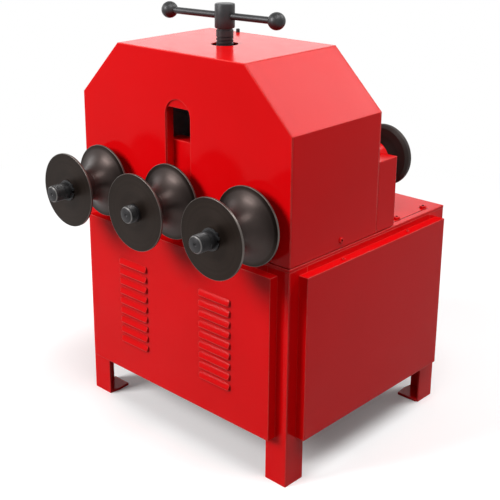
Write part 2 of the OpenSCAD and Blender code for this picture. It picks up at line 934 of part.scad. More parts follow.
// A shaft with a stub, a ring groove, a collar and a journal
module roll_shaft(stub, ring, back) {
    tip = roll_y - stub;
    bevel = 2;
    drill_r = 3;
    drill_d = 5;
    seat_r = ring ? shaft_r - ring_seat : shaft_r;
    turned([
        [0, tip + drill_d], [drill_r, tip], [shaft_r - bevel, tip], [shaft_r, tip + bevel],
        [shaft_r, roll_y - ring_t], [seat_r, roll_y - ring_t], [seat_r, roll_y], [shaft_r, roll_y],
        [shaft_r, -roll_back], [collar_r, -roll_back], [collar_r, back[0]], [journal_r, back[0]],
        [journal_r, back[1]], [back[2], back[1]], [back[2], back[3]], [0, back[3]]
    ]);
}

// Half of a roll: a rim and half of the round groove; side is 1 for the half nearer the head
module half_roll(side) {
    middle = roll_y + roll_len/2;
    edge = side > 0 ? -roll_back : roll_y;
    difference() {
        rod(roll_r, min(middle, edge), max(middle, edge));
        translate([0, middle, 0]) rotate([90, 0, 0]) rotate_extrude()
            translate([roll_r, 0]) circle(r = groove_r);
        rod(shaft_r, min(middle, edge) - cut, max(middle, edge) + cut);
    }
}

// An open ring in the groove of a shaft
module retaining_ring() {
    ring_r = shaft_r - ring_seat;
    far = 3*shaft_r;
    translate([0, roll_y, 0]) rotate([90, 0, 0])
        linear_extrude(ring_t)
            difference() {
                circle(r = ring_r + ring_w);
                circle(r = ring_r);
                rotate(ring_gap_at - ring_open/2)
                    polygon([[0, 0], [far, 0], far*[cos(ring_open), sin(ring_open)]]);
            }
}

// Puts children on the axis of a roll
module on_axis(x) {
    from_front() translate([x, 0, axis_z]) children();
}

module left_shaft() { color(black) on_axis(-roll_gap) roll_shaft(stub_len, true, outer_back); }
module right_shaft() { color(black) on_axis(roll_gap) roll_shaft(stub_len, true, outer_back); }
module centre_shaft() { color(black) on_axis(0) roll_shaft(centre_stub_len, false, centre_back); }

module left_roll_front() { color(black) on_axis(-roll_gap) half_roll(-1); }
module left_roll_rear() { color(black) on_axis(-roll_gap) half_roll(1); }
module right_roll_front() { color(black) on_axis(roll_gap) half_roll(-1); }
module right_roll_rear() { color(black) on_axis(roll_gap) half_roll(1); }
module centre_roll_front() { color(black) on_axis(0) half_roll(-1); }
module centre_roll_rear() { color(black) on_axis(0) half_roll(1); }

module left_ring() { color(black) on_axis(-roll_gap) retaining_ring(); }
module right_ring() { color(black) on_axis(roll_gap) retaining_ring(); }

// The ring that keeps the centre shaft in the slide block
module centre_ring() {
    color(steel) on_axis(0)
        difference() {
            rod(journal_r + keeper_w, keeper_y, keeper_y + keeper_t);
            rod(shaft_r, keeper_y - cut, keeper_y + keeper_t + cut);
        }
}

// A block with two high cheeks and a low middle, bored for the shaft and for the screw's foot
module slide_block() {
    low = axis_z - block_down;
    color(red) from_front()
        difference() {
            translate([-block_w/2, block_y, low]) cube([block_w, block_d, cheek_up + block_down]);
            translate([-block_w/2 - cut, block_y + cheek_d, block_top])
                cube([block_w + 2*cut, block_d - 2*cheek_d, cheek_up]);
            translate([0, 0, axis_z]) {
                rod(journal_r + run_gap, block_y - cut, block_y + block_d + cut);
                rod(journal_r + keeper_w + cut, keeper_y - slide_gap, block_y + block_d + cut);
            }
            translate([0, screw_y, foot_z - slide_gap])
                cylinder(r = screw_foot_r + run_gap, h = screw_foot_t + cut + slide_gap);
        }
}

module screw_cap() {
    color(grey) from_front()
        translate([0, screw_y, block_top])
            difference() {
                cylinder(r = screw_foot_r + cap_rim, h = cap_t);
                translate([0, 0, -cut]) cylinder(r = screw_r + run_gap, h = cap_t + 2*cut);
            }
}

// The thread is drawn as rings one pitch apart
module pressure_screw() {
    bevel = 2;
    head_r = screw_head_d/2;
    neck_z = block_top - slide_gap;
    head_end = screw_head_z + screw_head_h;
    thread_z0 = block_top + cap_t + screw_pitch;
    turns = floor((screw_head_z - thread_z0)/screw_pitch) - 1;
    root = screw_r - thread_depth;
    thread = [for (i = [0 : turns - 1]) each [
        [screw_r, thread_z0 + i*screw_pitch],
        [root, thread_z0 + (i + 0.15)*screw_pitch],
        [root, thread_z0 + (i + 0.3)*screw_pitch],
        [screw_r, thread_z0 + (i + 0.45)*screw_pitch]
    ]];
    color(black) from_front() translate([0, screw_y, 0])
        difference() {
            rotate_extrude()
                polygon(concat(
                    [[0, foot_z], [screw_foot_r, foot_z], [screw_foot_r, neck_z], [screw_r, neck_z]],
                    thread,
                    [[screw_r, screw_head_z], [head_r - bevel, screw_head_z],
                     [head_r, screw_head_z + bevel], [head_r, head_end - bevel],
                     [head_r - bevel, head_end], [0, head_end]]));
            along_bar()
                translate([0, 0, -screw_head_d]) cylinder(r = bar_d/2 + run_gap, h = 2*screw_head_d);
        }
}

// Turns +Z into the direction of the cross bar, at its height on the screw's axis
module along_bar() {
    translate([0, 0, bar_z]) rotate([0, 0, bar_angle]) rotate([0, 90, 0]) children();
}

module cross_bar() {
    color(black) from_front() translate([0, screw_y, 0]) along_bar()
        translate([0, 0, bar_shift - bar_half]) cylinder(r = bar_d/2, h = 2*bar_half);
}

module bar_balls() {
    color(black) from_front() translate([0, screw_y, 0]) along_bar()
        translate([0, 0, bar_shift])
            for (end = [0, 1]) mirror([0, 0, end])
                difference() {
                    translate([0, 0, bar_len/2]) sphere(r = ball_d/2);
                    cylinder(r = bar_d/2, h = bar_half);
                }
}

// Polar angle of an involute at radius r, in degrees
function involute_angle(base, r) = let (phi = acos(min(1, base/r))) tan(phi)*180/PI - phi;

// One flank as points of radius and half-width angle, from the root to the tip
function flank(teeth) =
    let (
        pitch_r = gear_m*teeth/2,
        base = pitch_r*cos(pressure_angle),
        tip = pitch_r + addendum*gear_m,
        root = pitch_r - dedendum*gear_m,
        start = max(base, root + root_round*gear_m),
        half = 90/teeth*(1 - backlash) + involute_angle(base, pitch_r)
    )
    concat(
        [[root, half - involute_angle(base, start)]],
        [for (i = [0 : flank_steps])
            let (r = start + (tip - start)*i/flank_steps) [r, half - involute_angle(base, r)]]
    );

// A spur gear in width over height; phase turns its first tooth
module gear(teeth, phase, hole) {
    side = flank(teeth);
    last = len(side) - 1;
    tooth = concat(
        [for (k = [0 : last]) [side[k][0], -side[k][1]]],
        [for (k = [last : -1 : 0]) side[k]]
    );
    difference() {
        polygon([for (i = [0 : teeth - 1], p = tooth)
            let (a = phase + i*360/teeth + p[1]) p[0]*[cos(a), sin(a)]]);
        circle(r = hole);
    }
}

// A gear at its place behind the head
module gear_on(x, teeth, phase, hole) {
    color(steel) on_axis(x) upright(gear_y, gear_w) gear(teeth, phase, hole);
}

module left_gear() { gear_on(-roll_gap, shaft_teeth, 0, shaft_r); }
module right_gear() { gear_on(roll_gap, shaft_teeth, 180/shaft_teeth, shaft_r); }
module left_idler() { gear_on(-idler_x, idler_teeth, 0, axle_r + run_gap); }
module right_idler() { gear_on(idler_x, idler_teeth, 0, axle_r + run_gap); }

// The pinion and the shaft that it is cut on
module drive_pinion() {
    color(steel) on_axis(0) {
        upright(gear_y, gear_w) gear(idler_teeth, 0, drive_r - cut);
        rod(drive_r, rear_plate_y + end_room, gearbox_y + gearbox_d - gearbox_step - end_room);
    }
}

leg_front_left();
leg_front_right();
leg_rear_left();
leg_rear_right();
foot_plates();
lower_rails();
upper_rails();
cabinet_top();
front_panel();
left_panel();
right_panel();
rear_panel();
panel_screws();
top_bolts();
head_front();
head_top();
head_left();
head_right();
head_rear();
cover_screws();
top_stud();
front_bearing_plate();
rear_bearing_plate();
guide_posts();
nut_bridge();
shaft_bushes();
gear_guard();
idler_axles();
gearbox();
motor();
fan_cover();
control_box();
cable_gland();
wheel_block();
wheel_axle();
left_shaft();
left_roll_front();
left_roll_rear();
left_ring();
left_gear();
right_shaft();
right_roll_front();
right_roll_rear();
right_ring();
right_gear();
slide_block();
screw_cap();
centre_shaft();
centre_roll_front();
centre_roll_rear();
centre_ring();
pressure_screw();
cross_bar();
bar_balls();
left_idler();
right_idler();
drive_pinion();
rear_wheel();
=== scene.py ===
"""Looks of the tube bender: paint, turned steel and small fittings, with a studio and a camera."""

import json
import math

import bpy
from mathutils import Matrix, Vector


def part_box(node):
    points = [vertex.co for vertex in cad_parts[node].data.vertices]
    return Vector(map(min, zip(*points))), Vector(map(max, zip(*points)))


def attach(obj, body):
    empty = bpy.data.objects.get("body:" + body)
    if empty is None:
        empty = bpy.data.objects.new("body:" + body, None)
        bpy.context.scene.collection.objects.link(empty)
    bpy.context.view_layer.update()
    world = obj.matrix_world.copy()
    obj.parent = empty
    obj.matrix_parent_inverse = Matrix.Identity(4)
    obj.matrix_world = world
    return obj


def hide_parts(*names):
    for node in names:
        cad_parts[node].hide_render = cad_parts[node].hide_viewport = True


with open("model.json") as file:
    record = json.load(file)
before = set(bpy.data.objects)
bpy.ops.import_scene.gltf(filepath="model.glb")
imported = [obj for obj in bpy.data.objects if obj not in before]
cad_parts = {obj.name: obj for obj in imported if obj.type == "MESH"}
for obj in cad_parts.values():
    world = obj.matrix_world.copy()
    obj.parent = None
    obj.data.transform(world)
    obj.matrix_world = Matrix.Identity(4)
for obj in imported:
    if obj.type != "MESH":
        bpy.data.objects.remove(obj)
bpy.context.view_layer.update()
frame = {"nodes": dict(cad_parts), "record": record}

MM = 0.001


def middle(node):
    """The centre of a solid's box."""
    low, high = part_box(node)
    return (low + high) / 2


# Rolls, as the frame has them
AXIS_Z = middle("left_roll_front").z
ROLL_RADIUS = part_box("left_roll_front")[1].z - AXIS_Z
ROLL_PLACES = {side: middle(side + "_roll_front").x for side in ("left", "centre", "right")}
RIM_THICK = 4 * MM

# Pressure screw and its bar
SCREW_RADIUS = 15 * MM
SCREW_PITCH = 6 * MM
SCREW_THREAD_DEEP = 1.6 * MM
SCREW_HEAD_RADIUS = 17.5 * MM
SCREW_HEAD_TALL = 42 * MM
SCREW_HEAD_BEVEL = 2 * MM
SCREW_COLLAR = 11 * MM
COLLAR_SOFT = 0.5 * MM
UNDERCUT = 3 * MM
SCREW_FOOT_RADIUS = 21.5 * MM
SCREW_FOOT_TALL = 19.7 * MM
BAR_RADIUS = 6 * MM
BAR_PLAY = 0.15 * MM

# Threads: how far the helix starts inside the rod that carries it, the flat at its root as a share of
# the pitch, and the faces in one turn
THREAD_SUNK = 0.1 * MM
THREAD_FLAT = 0.15
THREAD_FACES = 40

# Roll shafts; the steps are the depths where each shaft's collar and its journal end
SHAFT_RADIUS = 15 * MM
SHAFT_PITCH = 2 * MM
SHAFT_THREAD_DEEP = 0.8 * MM
THREAD_TURNS = {"left": 9, "centre": 5, "right": 9}
THREAD_RUNOUT = 1.5 * MM
SHAFT_BEVEL = 2 * MM
SHAFT_SOFT = 0.6 * MM
TIP_ROUND = 0.4 * MM
CENTRE_MARK_RADIUS = 3.2 * MM
CENTRE_MARK_DEEP = 5 * MM
COLLAR_RADIUS = 22 * MM
JOURNAL_RADIUS = 20 * MM
SHAFT_STEPS = {
    "left": (-171.6 * MM, 60.5 * MM),
    "centre": (-155.6 * MM, 26.4 * MM),
    "right": (-171.6 * MM, 60.5 * MM),
}

# Retaining rings of the outer shafts; angles in degrees
RINGED_SIDES = ("left", "right")
RING_THICK = 2.5 * MM
RING_SEAT = 1.2 * MM
RING_REACH = 3.6 * MM
RING_SOFT = 0.3 * MM
RING_OPEN = 24
RING_GAP_AT = 30
LUG_RADIUS = 2.6 * MM
LUG_HOLE = 1.1 * MM
LUG_SUNK = 0.5 * MM
LUG_THINNER = 0.1 * MM

# Screws of the cabinet and the head
PANEL_SCREW_RADIUS = 3.5 * MM
PANEL_SHANK = 4 * MM
TOP_BOLT_RADIUS = 6.5 * MM
TOP_SHANK = 5 * MM
COVER_SCREW_RADIUS = 5 * MM
COVER_SHANK = 5 * MM

# Gearbox; its fasteners are given by the head's radius, the head's height and the shank's length
GEARBOX_STEP = 8 * MM
GEARBOX_FOOT = 10 * MM
COVER_RING = 24 * MM
BEARING_SCREW = (3.4 * MM, 3.2 * MM, 6 * MM)
FOOT_BOLT = (3.5 * MM, 4 * MM, 8 * MM)
FOOT_BOLT_INSET = 12 * MM
OIL_PLUG = (8 * MM, 9 * MM, 6 * MM)
OIL_PLUG_HIGH = 30 * MM

# Cable gland
GLAND_FLUTES = 12
FLUTE_RADIUS = 1.3 * MM
NUT_OVERLAP = 0.2 * MM

# Paint: the round of the folded edges, the reach of the painted shade in the corners, and the strengths
# of the painted highlight on the edges and of the painted shade
FOLD_RADIUS = 2.2 * MM
CORNER_REACH = 11 * MM
# Strength of the painted highlight on the folded edges
EDGE_HIGHLIGHT_STRENGTH = 0.55
# Painted shade in inner corners: its strength and how dark it gets
CORNER_SHADE_STRENGTH = 0.9
CORNER_SHADE_DARKNESS = 0.12

# What counts as bent, as a cosine, as an open outer edge and as a closed inner corner
EDGE_BENT = (0.995, 0.93)
EDGE_OPEN = (0.90, 0.99)
CORNER_CLOSED = (0.96, 0.55)

# Turned steel: grooves painted paler as painted light, rims partly rubbed and partly painted highlight,
# and wear of a shaft's thread and tip; each band is where the mark begins and where it is full, below
# the rim, crest or tip
GROOVE_FADE = 1 * MM
GROOVE_DULL = 0.08
RIM_BAND = (1.3 * MM, 0.4 * MM)
# How far the rims are painted paler, partly as rubbed steel and partly as a painted highlight
RIM_WEAR_AND_HIGHLIGHT = 0.8
CREST_BAND = (0.5 * MM, 0.2 * MM)
CREST_WEAR = 0.25
TIP_BAND = (2.2 * MM, 1.2 * MM)
TIP_RING_BAND = (2.7 * MM, 2.0 * MM)
TIP_WEAR = 0.9

# The range in which nearly all of a noise lies
NOISE_RANGE = (0.3, 0.7)

# Kinds of group sockets
VECTOR = "NodeSocketVector"
NUMBER = "NodeSocketFloat"


# Small helpers for nodes

def new_material(name, **constants):
    """A material with one Principled shader; constants go on the shader's own sockets."""
    material = bpy.data.materials.new(name)
    material.use_nodes = True
    shader = material.node_tree.nodes["Principled BSDF"]
    for socket, value in constants.items():
        shader.inputs[socket.replace("_", " ")].default_value = value
    return material, material.node_tree, shader


def add(tree, kind, **settings):
    """A node of that kind, with its settings."""
    node = tree.nodes.new(kind)
    for key, value in settings.items():
        setattr(node, key, value)
    return node


def feed(tree, socket, source):
    """Joins a socket to another socket, or sets it to a plain value."""
    if isinstance(source, bpy.types.NodeSocket):
        tree.links.new(source, socket)
    else:
        socket.default_value = source


def math_node(tree, operation, *values):
    """The result of a sum, a product or another operation on values or sockets."""
    node = add(tree, "ShaderNodeMath", operation=operation)
    for socket, value in zip(node.inputs, values):
        feed(tree, socket, value)
    return node.outputs[0]


def product(tree, first, second):
    """Two values or sockets multiplied."""
    return math_node(tree, "MULTIPLY", first, second)


def mix_colours(tree, amount, first, second):
    """A colour between two others."""
    node = add(tree, "ShaderNodeMix", data_type="RGBA")
    feed(tree, node.inputs["Factor"], amount)
    feed(tree, node.inputs[6], first)
    feed(tree, node.inputs[7], second)
    return node.outputs[2]


def noise(tree, place, scale, detail=2.0, roughness=0.5):
    """Cloudy noise; the scale counts its patches in a metre."""
    node = add(tree, "ShaderNodeTexNoise")
    feed(tree, node.inputs["Vector"], place)
    feed(tree, node.inputs["Scale"], scale)
    feed(tree, node.inputs["Detail"], detail)
    feed(tree, node.inputs["Roughness"], roughness)
    return node.outputs["Fac"]


def spread(tree, value, low, high, to_low, to_high):
    """Maps a value from one range to another, with its ends held."""
    node = add(tree, "ShaderNodeMapRange")
    for socket, number in zip(node.inputs, (value, low, high, to_low, to_high)):
        feed(tree, socket, number)
    return node.outputs[0]


def spread_noise(tree, value, to_low, to_high):
    """Maps a noise to a range."""
    return spread(tree, value, *NOISE_RANGE, to_low, to_high)


def rise_below(tree, value, top, band, strength):
    """Rises from zero to a strength over a band below the top."""
    begin, full = band
    return spread(tree, value, top - begin, top - full, 0.0, strength)


def bump(tree, height, strength, distance, normal=None):
    """A normal bent by a height, on top of another normal if one is given."""
    node = add(tree, "ShaderNodeBump")
    feed(tree, node.inputs["Height"], height)
    feed(tree, node.inputs["Strength"], strength)
    feed(tree, node.inputs["Distance"], distance)
    if normal is not None:
        feed(tree, node.inputs["Normal"], normal)
    return node.outputs["Normal"]


def object_place(tree, centre=(0, 0, 0)):
    """Object coordinates, moved so that the centre lies at zero."""
    coordinates = add(tree, "ShaderNodeTexCoord")
    mapping = add(tree, "ShaderNodeMapping")
    mapping.inputs["Location"].default_value = [-part for part in centre]
    feed(tree, mapping.inputs["Vector"], coordinates.outputs["Object"])
    return mapping.outputs["Vector"]


def new_group(name, inputs, outputs):
    """A node group; its inputs are given by name, kind and default, its outputs by name and kind."""
    tree = bpy.data.node_groups.new(name, "ShaderNodeTree")
    for label, kind, default in inputs:
        socket = tree.interface.new_socket(label, in_out="INPUT", socket_type=kind)
        if default is not None:
            socket.default_value = default
    for label, kind in outputs:
        tree.interface.new_socket(label, in_out="OUTPUT", socket_type=kind)
    return tree, tree.nodes.new("NodeGroupInput"), tree.nodes.new("NodeGroupOutput")


def use_group(tree, group, **values):
    """A group placed in a material, with its values."""
    node = add(tree, "ShaderNodeGroup", node_tree=group)
    for label, value in values.items():
        feed(tree, node.inputs[label], value)
    return node


def toned(colour, factor, lift=0.0):
    """A lighter or darker tone of a colour."""
    return [min(1.0, part * factor + lift) for part in colour[:3]] + [1]


# Effects that several materials share

def make_sprayed_film():
    """Slow changes of tone, a fine ripple and a haze, as on sprayed paint."""
    tree, start, end = new_group(
        "sprayed_film",
        [("Place", VECTOR, None), ("Ripple Scale", NUMBER, 260.0)],
        [("Tone", NUMBER), ("Ripple", NUMBER), ("Haze", NUMBER)],
    )
    place = start.outputs["Place"]
    feed(tree, end.inputs["Tone"], noise(tree, place, 5.0, detail=3.0))
    feed(tree, end.inputs["Ripple"], noise(tree, place, start.outputs["Ripple Scale"], detail=1.0))
    feed(tree, end.inputs["Haze"], noise(tree, place, 38.0, detail=4.0, roughness=0.6))
    return tree


def make_turned_marks():
    """Rings of a turning tool round the depth axis, and the distances from that axis and along it."""
    tree, start, end = new_group(
        "turned_marks",
        [("Place", VECTOR, None)],
        [("Radius", NUMBER), ("Depth", NUMBER), ("Rings", NUMBER), ("Bands", NUMBER)],
    )
    split = add(tree, "ShaderNodeSeparateXYZ")
    feed(tree, split.inputs[0], start.outputs["Place"])
    across, depth, up = split.outputs
    squares = math_node(tree, "ADD", product(tree, across, across), product(tree, up, up))
    radius = math_node(tree, "SQRT", squares)
    line = add(tree, "ShaderNodeCombineXYZ")
    feed(tree, line.inputs["X"], radius)
    feed(tree, line.inputs["Y"], depth)
    feed(tree, end.inputs["Radius"], radius)
    feed(tree, end.inputs["Depth"], math_node(tree, "ABSOLUTE", depth))
    feed(tree, end.inputs["Rings"], noise(tree, line.outputs[0], 900.0, detail=1.0))
    feed(tree, end.inputs["Bands"], noise(tree, line.outputs[0], 160.0, detail=3.0, roughness=0.6))
    return tree


def make_shop_dust():
    """Small cloudy patches, as left by oil and handling."""
    tree, start, end = new_group("shop_dust", [("Place", VECTOR, None)], [("Patches", NUMBER)])
    cloud = noise(tree, start.outputs["Place"], 26.0, detail=5.0, roughness=0.62)
    feed(tree, end.inputs["Patches"], spread(tree, cloud, 0.38, 0.66, 0.0, 1.0))
    return tree


def make_rounding_and_painted_light():
    """The normal of rounded edges, with masks for a painted highlight on outer edges and painted shade
    in inner corners.
    """
    tree, start, end = new_group(
        "rounding_and_painted_light",
        [("Place", VECTOR, None), ("Radius", NUMBER, FOLD_RADIUS)],
        [("Rounded", VECTOR), ("Edge", NUMBER), ("Corner", NUMBER)],
    )
    fold = add(tree, "ShaderNodeBevel", samples=6)
    feed(tree, fold.inputs["Radius"], start.outputs["Radius"])
    turn = add(tree, "ShaderNodeVectorMath", operation="DOT_PRODUCT")
    feed(tree, turn.inputs[0], add(tree, "ShaderNodeNewGeometry").outputs["Normal"])
    feed(tree, turn.inputs[1], fold.outputs[0])
    nearby = add(tree, "ShaderNodeAmbientOcclusion", samples=8, only_local=True)
    feed(tree, nearby.inputs["Distance"], CORNER_REACH)
    room = nearby.outputs["AO"]
    # Edge: a painted highlight on bent, open edges, broken up by noise
    bent = spread(tree, turn.outputs["Value"], *EDGE_BENT, 0.0, 1.0)
    cloud = noise(tree, start.outputs["Place"], 60.0, detail=3.0, roughness=0.6)
    rubbed_and_highlit = spread_noise(tree, cloud, 0.55, 1.0)
    outer = spread(tree, room, *EDGE_OPEN, 0.0, 1.0)
    feed(tree, end.inputs["Rounded"], fold.outputs[0])
    feed(tree, end.inputs["Edge"], product(tree, product(tree, bent, rubbed_and_highlit), outer))
    # Corner: where the painted shade goes, stronger the more nearby surfaces close in
    feed(tree, end.inputs["Corner"], spread(tree, room, *CORNER_CLOSED, 0.0, 1.0))
    return tree


SPRAYED_FILM = make_sprayed_film()
ROUNDING_AND_PAINTED_LIGHT = make_rounding_and_painted_light()
TURNED_MARKS = make_turned_marks()
SHOP_DUST = make_shop_dust()


# Colours

RED = (0.72, 0.002, 0.004, 1)
RED_SHADE = (0.67, 0.002, 0.003, 1)
# Pinker red painted on the folded edges as a highlight
RED_HIGHLIGHT = (0.90, 0.16, 0.14, 1)
MOTOR_GREY = (0.10, 0.115, 0.13, 1)
MOTOR_SHADE = (0.085, 0.10, 0.115, 1)
# Paler grey painted on the folded edges as a highlight
MOTOR_HIGHLIGHT = (0.16, 0.18, 0.20, 1)
ROLL_BROWN = (0.016, 0.0105, 0.008, 1)
# Paler brown painted inside the grooves as painted light, though they are turned like the faces
GROOVE_PAINTED_LIGHT = (0.044, 0.033, 0.030, 1)
# Paler rims: partly rubbed steel, partly a painted highlight
RIM_RUB_AND_HIGHLIGHT = (0.13, 0.115, 0.105, 1)
WHEEL_BROWN = (0.030, 0.023, 0.021, 1)
SHAFT_BLACK = (0.030, 0.029, 0.030, 1)
RUBBED_SHAFT = (0.15, 0.145, 0.14, 1)
OXIDE_BLACK = (0.027, 0.027, 0.028, 1)
STEEL_GREY = (0.52, 0.52, 0.53, 1)
BRONZE_BROWN = (0.50, 0.32, 0.13, 1)
ALLOY_GREY = (0.45, 0.46, 0.47, 1)
PLASTIC_BLACK = (0.018, 0.018, 0.019, 1)


# Finishes

def gloss_paint(name, colour, shade, highlight_colour, roughness, gloss):
    """Sprayed gloss paint on sheet steel, with a painted highlight on the folded edges and painted shade
    in the corners.
    """
    material, tree, shader = new_material(name, Specular_IOR_Level=gloss)
    place = object_place(tree)
    film = use_group(tree, SPRAYED_FILM, Place=place)
    edges = use_group(tree, ROUNDING_AND_PAINTED_LIGHT, Place=place)
    tone = spread_noise(tree, film.outputs["Tone"], 0.0, 1.0)
    # Painted shade in the inner corners, as a darker colour
    painted_shade = product(tree, edges.outputs["Corner"], CORNER_SHADE_STRENGTH)
    # Painted highlight on the folded edges, as a paler colour
    painted_highlight = product(tree, edges.outputs["Edge"], EDGE_HIGHLIGHT_STRENGTH)
    base = mix_colours(tree, tone, colour, shade)
    base = mix_colours(tree, painted_shade, base, toned(colour, CORNER_SHADE_DARKNESS))
    base = mix_colours(tree, painted_highlight, base, highlight_colour)
    rough = spread_noise(tree, film.outputs["Haze"], roughness, roughness + 0.06)
    rippled = bump(tree, film.outputs["Ripple"], strength=0.02, distance=0.1 * MM,
                   normal=edges.outputs["Rounded"])
    feed(tree, shader.inputs["Base Color"], base)
    feed(tree, shader.inputs["Roughness"], rough)
    feed(tree, shader.inputs["Normal"], rippled)
    return material


def round_the_axis(tree, place):
    """The direction round the depth axis, for highlights that are drawn out across the tool marks."""
    split = add(tree, "ShaderNodeSeparateXYZ")
    feed(tree, split.inputs[0], place)
    around = add(tree, "ShaderNodeCombineXYZ")
    feed(tree, around.inputs["X"], split.outputs["Z"])
    feed(tree, around.inputs["Z"], product(tree, split.outputs["X"], -1.0))
    turned = add(tree, "ShaderNodeVectorTransform", vector_type="VECTOR",
                 convert_from="OBJECT", convert_to="WORLD")
    feed(tree, turned.inputs[0], around.outputs[0])
    return turned.outputs[0]


def groove_light_and_rim_wear(tree, marks, groove, base, rough):
    """The tone and roughness of a roll: duller inside its groove and painted paler there as painted
    light, and lighter on its rims, partly as rubbed steel and partly as a painted highlight.
    """
    rim_radius, half_width = groove
    inside = spread(tree, marks.outputs["Depth"], half_width - GROOVE_FADE, half_width, 1.0, 0.0)
    # Painted light: the groove painted paler than the faces
    base = mix_colours(tree, inside, base, GROOVE_PAINTED_LIGHT)
    rough = math_node(tree, "ADD", rough, product(tree, inside, GROOVE_DULL))
    # Rims painted paler, partly as rubbed steel and partly as a painted highlight
    rubbed_and_highlit = rise_below(tree, marks.outputs["Radius"], rim_radius, RIM_BAND, RIM_WEAR_AND_HIGHLIGHT)
    return mix_colours(tree, rubbed_and_highlit, base, RIM_RUB_AND_HIGHLIGHT), rough


def wear_thread(tree, marks, thread, base):
    """The tone of a shaft: rubbed on the crests of its thread and in a ring round its tip."""
    crest, tip, length = thread
    radius = marks.outputs["Radius"]
    depth = marks.outputs["Depth"]
    crests = rise_below(tree, radius, crest, CREST_BAND, CREST_WEAR)
    free_end = rise_below(tree, depth, tip, (length, length - 1 * MM), 1.0)
    base = mix_colours(tree, product(tree, crests, free_end), base, RUBBED_SHAFT)
    tip_edge = rise_below(tree, depth, tip, TIP_BAND, 1.0)
    tip_ring = rise_below(tree, radius, crest, TIP_RING_BAND, TIP_WEAR)
    return mix_colours(tree, product(tree, tip_edge, tip_ring), base, RUBBED_SHAFT)


def turned_steel(name, centre, colour, roughness, metal=0.75, groove=None, thread=None):
    """Dark turned steel with tool marks round an axis. A groove is given by its rim's radius and half
    its width, a thread by its crest's radius, the depth of its tip and its length."""
    material, tree, shader = new_material(
        name, Metallic=metal, Specular_IOR_Level=0.15, Anisotropic=0.5, Anisotropic_Rotation=0.25
    )
    place = object_place(tree, centre)
    marks = use_group(tree, TURNED_MARKS, Place=place)
    dust = use_group(tree, SHOP_DUST, Place=place)
    bands = spread_noise(tree, marks.outputs["Bands"], 0.0, 1.0)
    base = mix_colours(tree, bands, colour, toned(colour, 1.35))
    banded = spread(tree, bands, 0.0, 1.0, roughness - 0.04, roughness + 0.05)
    rough = math_node(tree, "ADD", banded, product(tree, dust.outputs["Patches"], 0.06))
    if groove:
        base, rough = groove_light_and_rim_wear(tree, marks, groove, base, rough)
    if thread:
        base = wear_thread(tree, marks, thread, base)
    feed(tree, shader.inputs["Base Color"], base)
    feed(tree, shader.inputs["Roughness"], rough)
    ringed = bump(tree, marks.outputs["Rings"], strength=0.22, distance=0.25 * MM)
    feed(tree, shader.inputs["Normal"], ringed)
    feed(tree, shader.inputs["Tangent"], round_the_axis(tree, place))
    return material


def blackened_steel(name, colour, roughness):
    """Machined steel with a thin black oxide skin."""
    material, tree, shader = new_material(name, Metallic=0.7)
    place = object_place(tree)
    dust = use_group(tree, SHOP_DUST, Place=place)
    grain = noise(tree, place, 420.0)
    base = mix_colours(tree, dust.outputs["Patches"], colour, toned(colour, 1.5))
    feed(tree, shader.inputs["Base Color"], base)
    feed(tree, shader.inputs["Roughness"], spread_noise(tree, grain, roughness - 0.05, roughness + 0.07))
    feed(tree, shader.inputs["Normal"], bump(tree, grain, strength=0.08, distance=0.1 * MM))
    return material


def bare_metal(name, colour, roughness, grain_scale):
    """Plain metal with fine grain and some handling marks."""
    material, tree, shader = new_material(name, Metallic=1.0)
    place = object_place(tree)
    dust = use_group(tree, SHOP_DUST, Place=place)
    grain = noise(tree, place, grain_scale, detail=3.0, roughness=0.6)
    base = mix_colours(tree, dust.outputs["Patches"], colour, toned(colour, 0.72))
    feed(tree, shader.inputs["Base Color"], base)
    feed(tree, shader.inputs["Roughness"], spread_noise(tree, grain, roughness - 0.06, roughness + 0.08))
    feed(tree, shader.inputs["Normal"], bump(tree, grain, strength=0.12, distance=0.15 * MM))
    return material


def moulded_plastic(name, colour, roughness):
    """Plastic with a fine spark-eroded grain."""
    material, tree, shader = new_material(name)
    place = object_place(tree)
    grain = noise(tree, place, 900.0)
    cloud = noise(tree, place, 30.0, detail=3.0)
    base = mix_colours(tree, cloud, colour, toned(colour, 1.4, 0.005))
    feed(tree, shader.inputs["Base Color"], base)
    feed(tree, shader.inputs["Roughness"], spread_noise(tree, cloud, roughness - 0.05, roughness + 0.05))
    feed(tree, shader.inputs["Normal"], bump(tree, grain, strength=0.2, distance=0.1 * MM))
    return material


red_paint = gloss_paint("red_paint", RED, RED_SHADE, RED_HIGHLIGHT, roughness=0.14, gloss=0.06)
motor_paint = gloss_paint("motor_paint", MOTOR_GREY, MOTOR_SHADE, MOTOR_HIGHLIGHT, roughness=0.4, gloss=0.4)
black_oxide = blackened_steel("black_oxide", OXIDE_BLACK, roughness=0.42)
bright_steel = bare_metal("bright_steel", STEEL_GREY, roughness=0.32, grain_scale=320.0)
bronze_metal = bare_metal("bronze_metal", BRONZE_BROWN, roughness=0.34, grain_scale=260.0)
cast_alloy = bare_metal("cast_alloy", ALLOY_GREY, roughness=0.52, grain_scale=180.0)
black_plastic = moulded_plastic("black_plastic", PLASTIC_BLACK, roughness=0.45)

SLOT_FINISH = {
    "red_paint": red_paint,
    "black_oxide": black_oxide,
    "bright_steel": bright_steel,
    "bronze": bronze_metal,
    "cast_aluminium": cast_alloy,
    "motor_grey": motor_paint,
    "black_plastic": black_plastic,
}
shaft_steel = {}


# The finish of each solid of the frame

def dress(node, material):
    """Gives a solid one material."""
    mesh = frame["nodes"][node].data
    mesh.materials.clear()
    mesh.materials.append(material)


